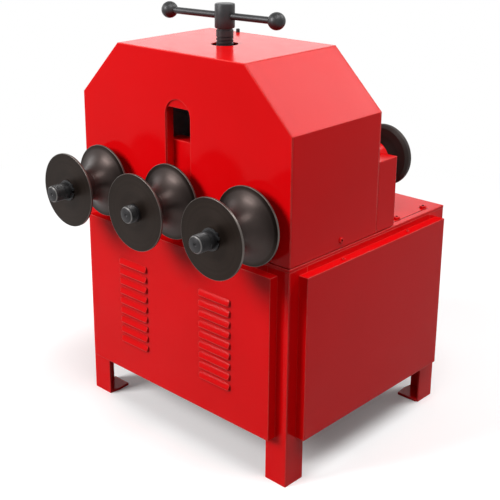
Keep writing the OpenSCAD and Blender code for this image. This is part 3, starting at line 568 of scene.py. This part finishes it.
def dress_roll(side):
    """Gives both halves of a roll their turned steel, and makes the steel of its shaft."""
    low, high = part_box(side + "_roll_front")
    centre = (ROLL_PLACES[side], high.y, AXIS_Z)
    groove = (ROLL_RADIUS, high.y - low.y - RIM_THICK)
    steel = turned_steel(side + "_roll_steel", centre, ROLL_BROWN, roughness=0.32, groove=groove)
    for half in ("front", "rear"):
        dress("%s_roll_%s" % (side, half), steel)
    tip = high.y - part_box(side + "_shaft")[0].y
    thread = (SHAFT_RADIUS, tip, (THREAD_TURNS[side] + 1) * SHAFT_PITCH)
    shaft_steel[side] = turned_steel(
        side + "_shaft_steel", centre, SHAFT_BLACK, roughness=0.34, thread=thread
    )


def dress_wheel():
    """Gives the rear wheel its dull turned steel."""
    x, _, z = middle("rear_wheel")
    steel = turned_steel("wheel_steel", (x, 0, z), WHEEL_BROWN, roughness=0.5, metal=0.2)
    dress("rear_wheel", steel)


for part in frame["record"]["subparts"]:
    if part["material_slot"] in SLOT_FINISH:
        dress(part["node"], SLOT_FINISH[part["material_slot"]])
for side in ROLL_PLACES:
    dress_roll(side)
dress_wheel()


# Modelling helpers: each piece starts from a primitive and is shaped in edit mode

UPRIGHT = (0, 0, 0)
TO_RIGHT = (0, math.radians(90), 0)
TO_LEFT = (0, math.radians(-90), 0)
TO_BACK = (math.radians(-90), 0, 0)
TO_FRONT = (math.radians(90), 0, 0)
MERGE_REACH = 0.002 * MM
SMOOTH_BELOW = math.radians(35)


def alone(piece):
    """Selects one piece and makes it the active one."""
    bpy.ops.object.select_all(action="DESELECT")
    piece.select_set(True)
    bpy.context.view_layer.objects.active = piece


def settle(piece):
    """Puts a piece's place, turn and size into its mesh."""
    alone(piece)
    bpy.ops.object.transform_apply(location=True, rotation=True, scale=True)


def close_mesh():
    """Merges what lies together and turns the faces outwards, in edit mode."""
    bpy.ops.mesh.select_all(action="SELECT")
    bpy.ops.mesh.remove_doubles(threshold=MERGE_REACH)
    bpy.ops.mesh.normals_make_consistent(inside=False)


def draw_line(name, place, points):
    """A chain of edges drawn out of one vertex through the points; it stays in edit mode, selected."""
    bpy.ops.object.select_all(action="DESELECT")
    bpy.ops.mesh.primitive_plane_add(size=MM, location=place)
    piece = bpy.context.object
    piece.name = piece.data.name = name
    bpy.ops.object.mode_set(mode="EDIT")
    bpy.ops.mesh.select_mode(type="VERT")
    bpy.ops.mesh.select_all(action="SELECT")
    bpy.ops.mesh.merge(type="CENTER")
    bpy.ops.transform.translate(value=points[0])
    for here, there in zip(points, points[1:]):
        bpy.ops.mesh.extrude_vertices_move(TRANSFORM_OT_translate={"value": there - here})
    bpy.ops.mesh.select_all(action="SELECT")
    return piece


def along(axis):
    """The unit vector of an axis that is named Y or Z."""
    return Vector((0, 1, 0)) if axis == "Y" else Vector((0, 0, 1))


def profile_points(axis, profile):
    """Points of radius and height as places beside an axis."""
    return [Vector((radius, 0, 0)) + along(axis) * height for radius, height in profile]


def turned_piece(name, place, axis, profile, steps=64, sweep=360.0):
    """A profile of radius and height turned round an axis through a place, as on a lathe."""
    piece = draw_line(name, place, profile_points(axis, profile))
    bpy.ops.mesh.spin(steps=steps, angle=math.radians(sweep), center=place, axis=along(axis))
    close_mesh()
    if sweep < 360.0:
        bpy.ops.mesh.fill_holes(sides=0)
        close_mesh()
    bpy.ops.object.mode_set(mode="OBJECT")
    settle(piece)
    return piece


def threaded_rod(name, place, axis, crest, root, pitch, turns):
    """A rod with a helical thread, closed at both ends; the place is the foot of its axis."""
    flank = (crest - root) / 2
    start = THREAD_FLAT * pitch
    rod = draw_line(name, place, profile_points(axis, [
        (root, 0),
        (root, start),
        (crest, start + flank),
        (crest, pitch - flank),
        (root, pitch),
    ]))
    bpy.ops.object.mode_set(mode="OBJECT")
    helix = rod.modifiers.new("helix", "SCREW")
    helix.axis = axis
    helix.angle = 2 * math.pi
    helix.screw_offset = pitch
    helix.iterations = turns
    helix.steps = helix.render_steps = THREAD_FACES
    bpy.ops.object.modifier_apply(modifier=helix.name)
    bpy.ops.object.mode_set(mode="EDIT")
    close_mesh()
    bpy.ops.mesh.fill_holes(sides=0)
    close_mesh()
    bpy.ops.object.mode_set(mode="OBJECT")
    settle(rod)
    return rod


def carve(piece, tool, operation="DIFFERENCE"):
    """Cuts a tool out of a piece, joins it on or keeps what both share, and takes the tool away."""
    alone(piece)
    cut = piece.modifiers.new("cut", "BOOLEAN")
    cut.operation = operation
    cut.object = tool
    cut.solver = "EXACT"
    bpy.ops.object.modifier_apply(modifier=cut.name)
    bpy.data.objects.remove(tool)


def post(place, turn, radius, length, sides):
    """A plain prism that cuts or is cut, centred on its place."""
    bpy.ops.object.select_all(action="DESELECT")
    bpy.ops.mesh.primitive_cylinder_add(
        vertices=sides, radius=radius, depth=length, location=place, rotation=turn
    )
    tool = bpy.context.object
    settle(tool)
    return tool


def copy_to(piece, place, turn):
    """A copy of a piece with a mesh of its own, turned and put in its place."""
    alone(piece)
    bpy.ops.object.duplicate(linked=False)
    copy = bpy.context.object
    copy.location = place
    copy.rotation_euler = turn
    settle(copy)
    return copy


def joined(name, pieces):
    """One piece out of several."""
    bpy.ops.object.select_all(action="DESELECT")
    for piece in pieces:
        piece.select_set(True)
    bpy.context.view_layer.objects.active = pieces[0]
    bpy.ops.object.join()
    whole = bpy.context.object
    whole.name = whole.data.name = name
    return whole


def finish_piece(piece, body, slot, material, *nodes):
    """Shades a piece, gives it its finish and lets it ride on its body in place of the nodes."""
    alone(piece)
    bpy.ops.object.shade_smooth_by_angle(angle=SMOOTH_BELOW)
    piece.data.materials.clear()
    piece.data.materials.append(material)
    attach(piece, body)
    if nodes:
        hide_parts(*nodes)


# Pressure screw

def pressure_screw():
    """The screw with its helix, a smooth collar and an undercut below its head, and the bar's hole."""
    low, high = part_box("pressure_screw")
    x, y, _ = middle("pressure_screw")
    head_low = high.z - SCREW_HEAD_TALL
    collar_high = head_low - UNDERCUT
    collar_low = collar_high - SCREW_COLLAR
    foot_high = low.z + SCREW_FOOT_TALL
    turns = int((collar_low - foot_high) / SCREW_PITCH)
    thread_low = collar_low - turns * SCREW_PITCH
    core = SCREW_RADIUS - SCREW_THREAD_DEEP
    head = SCREW_HEAD_RADIUS
    bevel = SCREW_HEAD_BEVEL
    bulge = 0.3 * bevel
    body = turned_piece("screw_body", (x, y, 0), "Z", [
        (0, low.z),
        (SCREW_FOOT_RADIUS, low.z),
        (SCREW_FOOT_RADIUS, foot_high),
        (SCREW_RADIUS, foot_high),
        (SCREW_RADIUS, thread_low),
        (core, thread_low),
        (core, collar_low),
        (SCREW_RADIUS - COLLAR_SOFT, collar_low),
        (SCREW_RADIUS, collar_low + COLLAR_SOFT),
        (SCREW_RADIUS, collar_high - COLLAR_SOFT),
        (SCREW_RADIUS - COLLAR_SOFT, collar_high),
        (core, collar_high),
        (core, head_low),
        (head - bevel, head_low),
        (head - bulge, head_low + bulge),
        (head, head_low + bevel),
        (head, high.z - bevel),
        (head - bulge, high.z - bulge),
        (head - bevel, high.z),
        (0, high.z),
    ], steps=72)
    bar_low, bar_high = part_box("cross_bar")
    across = math.atan2(bar_high.y - bar_low.y - 2 * BAR_RADIUS, bar_high.x - bar_low.x)
    hole_place = (x, y, (head_low + high.z) / 2)
    carve(body, post(hole_place, (0, math.radians(90), across), BAR_RADIUS + BAR_PLAY, 4 * head, 48))
    thread = threaded_rod("screw_thread", (x, y, thread_low), "Z",
                          SCREW_RADIUS, core - THREAD_SUNK, SCREW_PITCH, turns)
    whole = joined("threaded_pressure_screw", [body, thread])
    finish_piece(whole, "screw", "black_oxide", black_oxide, "pressure_screw")


# Roll shafts and their rings

def roll_shaft(side):
    """A shaft with a centre mark and a thread at its free end, and a collar and a journal behind."""
    low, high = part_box(side + "_shaft")
    x = middle(side + "_shaft").x
    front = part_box(side + "_roll_front")[0].y
    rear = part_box(side + "_roll_rear")[1].y
    tip = low.y
    full = SHAFT_RADIUS
    core = full - SHAFT_THREAD_DEEP
    thread_low = tip + SHAFT_BEVEL
    thread_high = thread_low + THREAD_TURNS[side] * SHAFT_PITCH
    seat = []
    if side in RINGED_SIDES:
        seat = [
            (full, front - RING_THICK),
            (full - RING_SEAT, front - RING_THICK),
            (full - RING_SEAT, front),
            (full, front),
        ]
    collar_back, journal_back = SHAFT_STEPS[side]
    body = turned_piece(side + "_shaft_body", (x, 0, AXIS_Z), "Y", [
        (0, tip + CENTRE_MARK_DEEP),
        (CENTRE_MARK_RADIUS - SHAFT_SOFT, tip + SHAFT_SOFT),
        (CENTRE_MARK_RADIUS, tip),
        (full - SHAFT_BEVEL - SHAFT_SOFT, tip),
        (full - SHAFT_BEVEL, tip + TIP_ROUND),
        (core, thread_low),
        (core, thread_high + THREAD_RUNOUT),
        (full, thread_high + THREAD_RUNOUT + SHAFT_THREAD_DEEP),
        *seat,
        (full, rear),
        (COLLAR_RADIUS - SHAFT_SOFT, rear),
        (COLLAR_RADIUS, rear + SHAFT_SOFT),
        (COLLAR_RADIUS, collar_back),
        (JOURNAL_RADIUS, collar_back),
        (JOURNAL_RADIUS, journal_back),
        (full, journal_back),
        (full, high.y),
        (0, high.y),
    ])
    thread = threaded_rod(side + "_shaft_thread", (x, thread_low, AXIS_Z), "Y",
                          full, core - THREAD_SUNK, SHAFT_PITCH, THREAD_TURNS[side])
    whole = joined(side + "_threaded_shaft", [body, thread])
    finish_piece(whole, side + "_roll", "black_oxide", shaft_steel[side], side + "_shaft")


def circlip(side):
    """An open retaining ring with two holed lugs at its ends."""
    low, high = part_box(side + "_ring")
    inner = SHAFT_RADIUS - RING_SEAT
    outer = SHAFT_RADIUS + RING_REACH
    half = (high.y - low.y) / 2
    clip = turned_piece(side + "_clip", (0, 0, 0), "Y", [
        (inner, -half),
        (outer - RING_SOFT, -half),
        (outer, RING_SOFT - half),
        (outer, half - RING_SOFT),
        (outer - RING_SOFT, half),
        (inner, half),
        (inner, -half),
    ], steps=60, sweep=360.0 - RING_OPEN)
    reach = outer - LUG_SUNK
    for end in (0.0, math.radians(360.0 - RING_OPEN)):
        lug_place = (reach * math.cos(end), 0, -reach * math.sin(end))
        carve(clip, post(lug_place, TO_FRONT, LUG_RADIUS, 2 * half - LUG_THINNER, 28), "UNION")
        carve(clip, post(lug_place, TO_FRONT, LUG_HOLE, 4 * half, 20))
    clip.location = (ROLL_PLACES[side], (low.y + high.y) / 2, AXIS_Z)
    clip.rotation_euler = (0, math.radians(RING_OPEN / 2 - RING_GAP_AT), 0)
    settle(clip)
    clip.name = clip.data.name = side + "_circlip"
    finish_piece(clip, side + "_roll", "black_oxide", black_oxide, side + "_ring")


# Screws and bolts

def socket_screw(radius, tall, shank):
    """A round-headed screw with a six-sided socket, its seat at the origin and its head upwards."""
    core = radius / 2
    point = 0.2 * radius
    screw = turned_piece("socket_screw", (0, 0, 0), "Z", [
        (0, -shank),
        (core - point, -shank),
        (core, point - shank),
        (core, 0),
        (0.94 * radius, 0),
        (radius, 0.1 * tall),
        (radius, 0.5 * tall),
        (0.94 * radius, 0.76 * tall),
        (0.8 * radius, 0.93 * tall),
        (0.62 * radius, tall),
        (0, tall),
    ], steps=36)
    carve(screw, post((0, 0, tall), UPRIGHT, 0.44 * radius, 1.3 * tall, 6))
    return screw


def hex_bolt(radius, tall, shank):
    """A six-sided bolt head on a washer, its seat at the origin; the radius reaches its corners."""
    washer = turned_piece("washer", (0, 0, 0), "Z", [
        (0.5 * radius, 0),
        (1.08 * radius, 0),
        (1.12 * radius, 0.08 * tall),
        (1.12 * radius, 0.22 * tall),
        (1.08 * radius, 0.3 * tall),
        (0.5 * radius, 0.3 * tall),
        (0.5 * radius, 0),
    ], steps=36)
    head = post((0, 0, 0.65 * tall), UPRIGHT, radius, 0.7 * tall, 6)
    dome = turned_piece("dome", (0, 0, 0), "Z", [
        (0, -tall),
        (1.1 * radius, -tall),
        (1.1 * radius, 0.8 * tall),
        (0.84 * radius, tall),
        (0, tall),
    ], steps=36)
    carve(head, dome, "INTERSECT")
    stem = turned_piece("stem", (0, 0, 0), "Z", [
        (0, -shank),
        (0.42 * radius, -shank),
        (0.5 * radius, 0.08 * radius - shank),
        (0.5 * radius, 0.4 * tall),
        (0, 0.4 * tall),
    ], steps=24)
    return joined("hex_bolt", [washer, head, stem])


def screw_group(name, pattern, places, slot, material, *nodes):
    """Copies of one screw at their places, as one piece on the stand; the pattern is taken away."""
    copies = [copy_to(pattern, place, turn) for place, turn in places]
    bpy.data.objects.remove(pattern)
    finish_piece(joined(name, copies), "stand", slot, material, *nodes)


def box_corners(node, inset, seat):
    """The four corners of a node's box from above, drawn in, at the height of the seat."""
    low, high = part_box(node)
    return [
        ((x, y, seat), UPRIGHT)
        for x in (low.x + inset, high.x - inset)
        for y in (low.y + inset, high.y - inset)
    ]


def cabinet_screws():
    """The screws of the side panels, of the top plate and of the head's sides."""
    panel_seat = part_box("right_panel")[1].z
    panel_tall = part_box("panel_screws")[1].z - panel_seat
    screw_group(
        "panel_socket_screws",
        socket_screw(PANEL_SCREW_RADIUS, panel_tall, PANEL_SHANK),
        box_corners("panel_screws", PANEL_SCREW_RADIUS, panel_seat),
        "red_paint", red_paint, "panel_screws",
    )
    top_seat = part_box("cabinet_top")[1].z
    top_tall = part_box("top_bolts")[1].z - top_seat
    screw_group(
        "top_socket_screws",
        socket_screw(TOP_BOLT_RADIUS, top_tall, TOP_SHANK),
        box_corners("top_bolts", TOP_BOLT_RADIUS, top_seat),
        "red_paint", red_paint, "top_bolts",
    )
    head_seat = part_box("head_right")[1].x
    head_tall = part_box("cover_screws")[1].x - head_seat
    _, y, z = middle("cover_screws")
    screw_group(
        "head_socket_screws",
        socket_screw(COVER_SCREW_RADIUS, head_tall, COVER_SHANK),
        [((head_seat, y, z), TO_RIGHT), ((-head_seat, y, z), TO_LEFT)],
        "red_paint", red_paint, "cover_screws",
    )


# Gearbox fittings

def gearbox_fittings():
    """Screws in the rear bearing cover, bolts in the foot, and the plugs for its oil."""
    low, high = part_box("gearbox")
    angles = [math.radians(angle) for angle in range(30, 390, 60)]
    ring = [(COVER_RING * math.cos(angle), COVER_RING * math.sin(angle)) for angle in angles]
    screw_group(
        "gearbox_cover_screws",
        socket_screw(*BEARING_SCREW),
        [((x, high.y, AXIS_Z + z), TO_BACK) for x, z in ring],
        "black_oxide", black_oxide,
    )
    foot = low.z + GEARBOX_FOOT
    inset = GEARBOX_STEP + FOOT_BOLT_INSET
    rows = (low.x + GEARBOX_STEP / 2, high.x - GEARBOX_STEP / 2)
    ends = (low.y + inset, high.y - inset)
    screw_group(
        "gearbox_foot_bolts",
        hex_bolt(*FOOT_BOLT),
        [((x, y, foot), UPRIGHT) for x in rows for y in ends],
        "bright_steel", bright_steel,
    )
    y = (low.y + high.y) / 2
    wall = high.x - GEARBOX_STEP
    screw_group(
        "gearbox_oil_plugs",
        hex_bolt(*OIL_PLUG),
        [((0, y, high.z), UPRIGHT), ((wall, y, low.z + OIL_PLUG_HIGH), TO_RIGHT)],
        "bright_steel", bright_steel,
    )


# Cable gland

def cable_gland():
    """A gland with a six-sided collar, a fluted clamp nut and a rounded mouth round the lead's bore."""
    low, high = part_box("cable_gland")
    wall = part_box("rear_panel")[1].y
    x = (low.x + high.x) / 2
    z = (low.z + high.z) / 2
    outer = (high.x - low.x) / 2
    reach = high.y - wall
    bore = 0.3 * outer
    thread = 0.75 * outer
    body = turned_piece("gland_body", (x, 0, z), "Y", [
        (bore, low.y),
        (thread, low.y),
        (thread, wall + 0.5 * reach),
        (0.9 * outer, wall + 0.5 * reach),
        (0.9 * outer, wall + 0.78 * reach),
        (0.84 * outer, wall + 0.9 * reach),
        (0.68 * outer, wall + 0.98 * reach),
        (0.5 * outer, high.y),
        (1.35 * bore, high.y),
        (bore, high.y - 0.12 * reach),
        (bore, low.y),
    ], steps=48)
    flute_at = 0.95 * outer
    for step in range(GLAND_FLUTES):
        turn = 2 * math.pi * step / GLAND_FLUTES
        flute = (x + flute_at * math.cos(turn), wall + 0.6 * reach, z + flute_at * math.sin(turn))
        carve(body, post(flute, TO_FRONT, FLUTE_RADIUS, 0.3 * reach, 12))
    collar_place = (x, wall + 0.16 * reach, z)
    collar = post(collar_place, TO_FRONT, outer, 0.32 * reach, 6)
    chamfer = turned_piece("gland_chamfer", (x, 0, z), "Y", [
        (0, wall - 0.1 * reach),
        (0.9 * outer, wall - 0.02 * reach),
        (1.02 * outer, wall + 0.06 * reach),
        (1.02 * outer, wall + 0.26 * reach),
        (0.9 * outer, wall + 0.34 * reach),
        (0, wall + 0.4 * reach),
    ], steps=50)
    carve(collar, chamfer, "INTERSECT")
    carve(collar, post(collar_place, TO_FRONT, thread - NUT_OVERLAP, reach, 48))
    whole = joined("fluted_cable_gland", [body, collar])
    finish_piece(whole, "stand", "black_plastic", black_plastic, "cable_gland")


pressure_screw()
for side in RINGED_SIDES:
    roll_shaft(side)
    circlip(side)
roll_shaft("centre")
cabinet_screws()
gearbox_fittings()
cable_gland()


# Edges of the solids: merged, rounded a little and shaded smooth

SHEET_EDGE = 0.9 * MM
ROLL_EDGE = 0.7 * MM
WELD_REACH = 0.01 * MM
FLAT_BELOW = math.radians(0.5)
SHARP_ABOVE = math.radians(40)
SHEET_NODES = (
    "leg_front_left", "leg_front_right", "leg_rear_left", "leg_rear_right", "cabinet_top",
    "front_panel", "left_panel", "right_panel", "head_front", "head_top", "head_left", "head_right",
    "head_rear", "gear_guard", "wheel_block", "gearbox", "foot_plates", "slide_block",
    "front_bearing_plate",
)
ROLL_NODES = [node for node in frame["nodes"] if "_roll_" in node] + ["rear_wheel"]


def soften(node, width, join_faces=True):
    """Rounds a solid's sharp edges with live modifiers, so that they catch the light."""
    solid = frame["nodes"][node]
    merge = solid.modifiers.new("merge", "WELD")
    merge.merge_threshold = WELD_REACH
    if join_faces:
        flat = solid.modifiers.new("flat_faces", "DECIMATE")
        flat.decimate_type = "DISSOLVE"
        flat.angle_limit = FLAT_BELOW
    edge = solid.modifiers.new("edge", "BEVEL")
    edge.width = width
    edge.segments = 2
    edge.limit_method = "ANGLE"
    edge.angle_limit = SHARP_ABOVE
    even = solid.modifiers.new("even_faces", "WEIGHTED_NORMAL")
    even.mode = "FACE_AREA"
    even.weight = 90
    even.keep_sharp = True


for node in SHEET_NODES:
    soften(node, SHEET_EDGE)
soften("rear_panel", SHEET_EDGE, join_faces=False)
for node in ROLL_NODES:
    soften(node, ROLL_EDGE)


# Studio: floor, light and camera

FLOOR_WIDE = 60
FLOOR_NEAR = (0.20, 0.20, 0.20, 1)
FLOOR_FAR = (0.08, 0.08, 0.08, 1)
FLOOR_PALE = (0.95, 0.95, 0.95, 1)
FLOOR_LIFT = 0.10
SOFT_LIGHT = 0.12

# Distances from the object between which the floor's bounced light fades and its look turns white
BOUNCE_FADE = (0.3, 0.9)
WHITE_FADE = (0.6, 1.8)

# Lamps by name: place, aim, size in metres and power in watts
LAMPS = {
    "key": ((-1.5, -2.9, 2.2), (0, 0, 0.4), (1.6, 1.6), 134),
    "top": ((1.04, 1.9, 2.5), (0.15, -0.1, 0.62), (1.2, 1.2), 38),
    "back": ((-2.4, 2.3, 1.8), (0, 0, 0.7), (2.6, 1.5), 9),
    "over": ((0.95, -0.35, 2.7), (0, -0.15, 0.45), (1.5, 1.3), 42),
    "left": ((-2.6, -0.3, 1.2), (0, -0.2, 0.45), (1.6, 1.6), 12),
    "right": ((2.0, -0.9, 1.7), (0.1, -0.1, 0.4), (1.4, 1.4), 1.5),
    "edge": ((1.55, 1.7, 1.55), (0.2, 0, 0.4), (0.35, 0.9), 3),
}

CAMERA_PLACE = (1.1765, -1.2914, 0.9918)
CAMERA_FORWARD = (-0.68433, 0.66661, -0.29549)
CAMERA_UP = (-0.20389, 0.21415, 0.95529)
CAMERA_SENSOR = 36
CAMERA_LENS = 71.44
CAMERA_SHIFT = (0.12, -0.14)


def seen_ray(tree):
    """One for rays that the camera, a mirror-like surface or glass sees, zero for bounced light."""
    path = add(tree, "ShaderNodeLightPath")
    direct = math_node(tree, "MAXIMUM", path.outputs["Is Camera Ray"], path.outputs["Is Glossy Ray"])
    return math_node(tree, "MAXIMUM", direct, path.outputs["Is Transmission Ray"])


def mix_shaders(tree, amount, first, second):
    """A shader between two others."""
    node = add(tree, "ShaderNodeMixShader")
    feed(tree, node.inputs[0], amount)
    feed(tree, node.inputs[1], first.outputs[0])
    feed(tree, node.inputs[2], second.outputs[0])
    return node


def studio_floor():
    """A pale floor: white with the object's shadow where it is seen, darker for the light it throws
    back, so that the object isn't lit from below."""
    bpy.ops.object.select_all(action="DESELECT")
    bpy.ops.mesh.primitive_plane_add(size=FLOOR_WIDE, location=(0, 0, 0))
    floor = bpy.context.object
    floor.name = "floor"
    material, tree, shader = new_material("floor_white", Roughness=0.7, Specular_IOR_Level=0.1)
    away = add(tree, "ShaderNodeVectorMath", operation="LENGTH")
    feed(tree, away.inputs[0], object_place(tree))
    distance = away.outputs["Value"]
    bounce = spread(tree, distance, *BOUNCE_FADE, 0.0, 1.0)
    feed(tree, shader.inputs["Base Color"], mix_colours(tree, bounce, FLOOR_NEAR, FLOOR_FAR))
    pale = add(tree, "ShaderNodeBsdfDiffuse")
    feed(tree, pale.inputs["Color"], FLOOR_PALE)
    lift = add(tree, "ShaderNodeEmission")
    feed(tree, lift.inputs["Strength"], FLOOR_LIFT)
    near = add(tree, "ShaderNodeAddShader")
    feed(tree, near.inputs[0], pale.outputs[0])
    feed(tree, near.inputs[1], lift.outputs[0])
    far = add(tree, "ShaderNodeEmission")
    white = mix_shaders(tree, spread(tree, distance, *WHITE_FADE, 0.0, 1.0), near, far)
    look = mix_shaders(tree, seen_ray(tree), shader, white)
    feed(tree, tree.nodes["Material Output"].inputs["Surface"], look.outputs[0])
    floor.data.materials.append(material)


def studio_world():
    """Weak even light from all round, white where it is seen."""
    world = bpy.data.worlds.new("studio")
    bpy.context.scene.world = world
    world.use_nodes = True
    tree = world.node_tree
    tree.nodes.clear()
    soft = add(tree, "ShaderNodeBackground")
    feed(tree, soft.inputs["Strength"], SOFT_LIGHT)
    white = add(tree, "ShaderNodeBackground")
    feed(tree, white.inputs["Color"], (1, 1, 1, 1))
    look = mix_shaders(tree, seen_ray(tree), soft, white)
    feed(tree, add(tree, "ShaderNodeOutputWorld").inputs["Surface"], look.outputs[0])


def soft_box(name, place, aim, size, power):
    """A rectangular lamp that looks at a point."""
    data = bpy.data.lights.new(name, "AREA")
    data.shape = "RECTANGLE"
    data.size, data.size_y = size
    data.energy = power
    lamp = bpy.data.objects.new(name, data)
    bpy.context.scene.collection.objects.link(lamp)
    lamp.location = place
    lamp.rotation_euler = (Vector(aim) - Vector(place)).to_track_quat("-Z", "Y").to_euler()
    lamp.visible_camera = False


def camera():
    """The photograph's point of view."""
    data = bpy.data.cameras.new("camera")
    data.sensor_width = CAMERA_SENSOR
    data.lens = CAMERA_LENS
    data.shift_x, data.shift_y = CAMERA_SHIFT
    view = bpy.data.objects.new("camera", data)
    bpy.context.scene.collection.objects.link(view)
    back = -Vector(CAMERA_FORWARD).normalized()
    up = Vector(CAMERA_UP).normalized()
    turn = Matrix((up.cross(back), up, back)).transposed()
    view.matrix_world = Matrix.Translation(CAMERA_PLACE) @ turn.to_4x4()
    bpy.context.scene.camera = view


studio_floor()
studio_world()
for name, (place, aim, size, power) in LAMPS.items():
    soft_box(name, place, aim, size, power)
camera()
bpy.context.scene.view_settings.view_transform = "Standard"
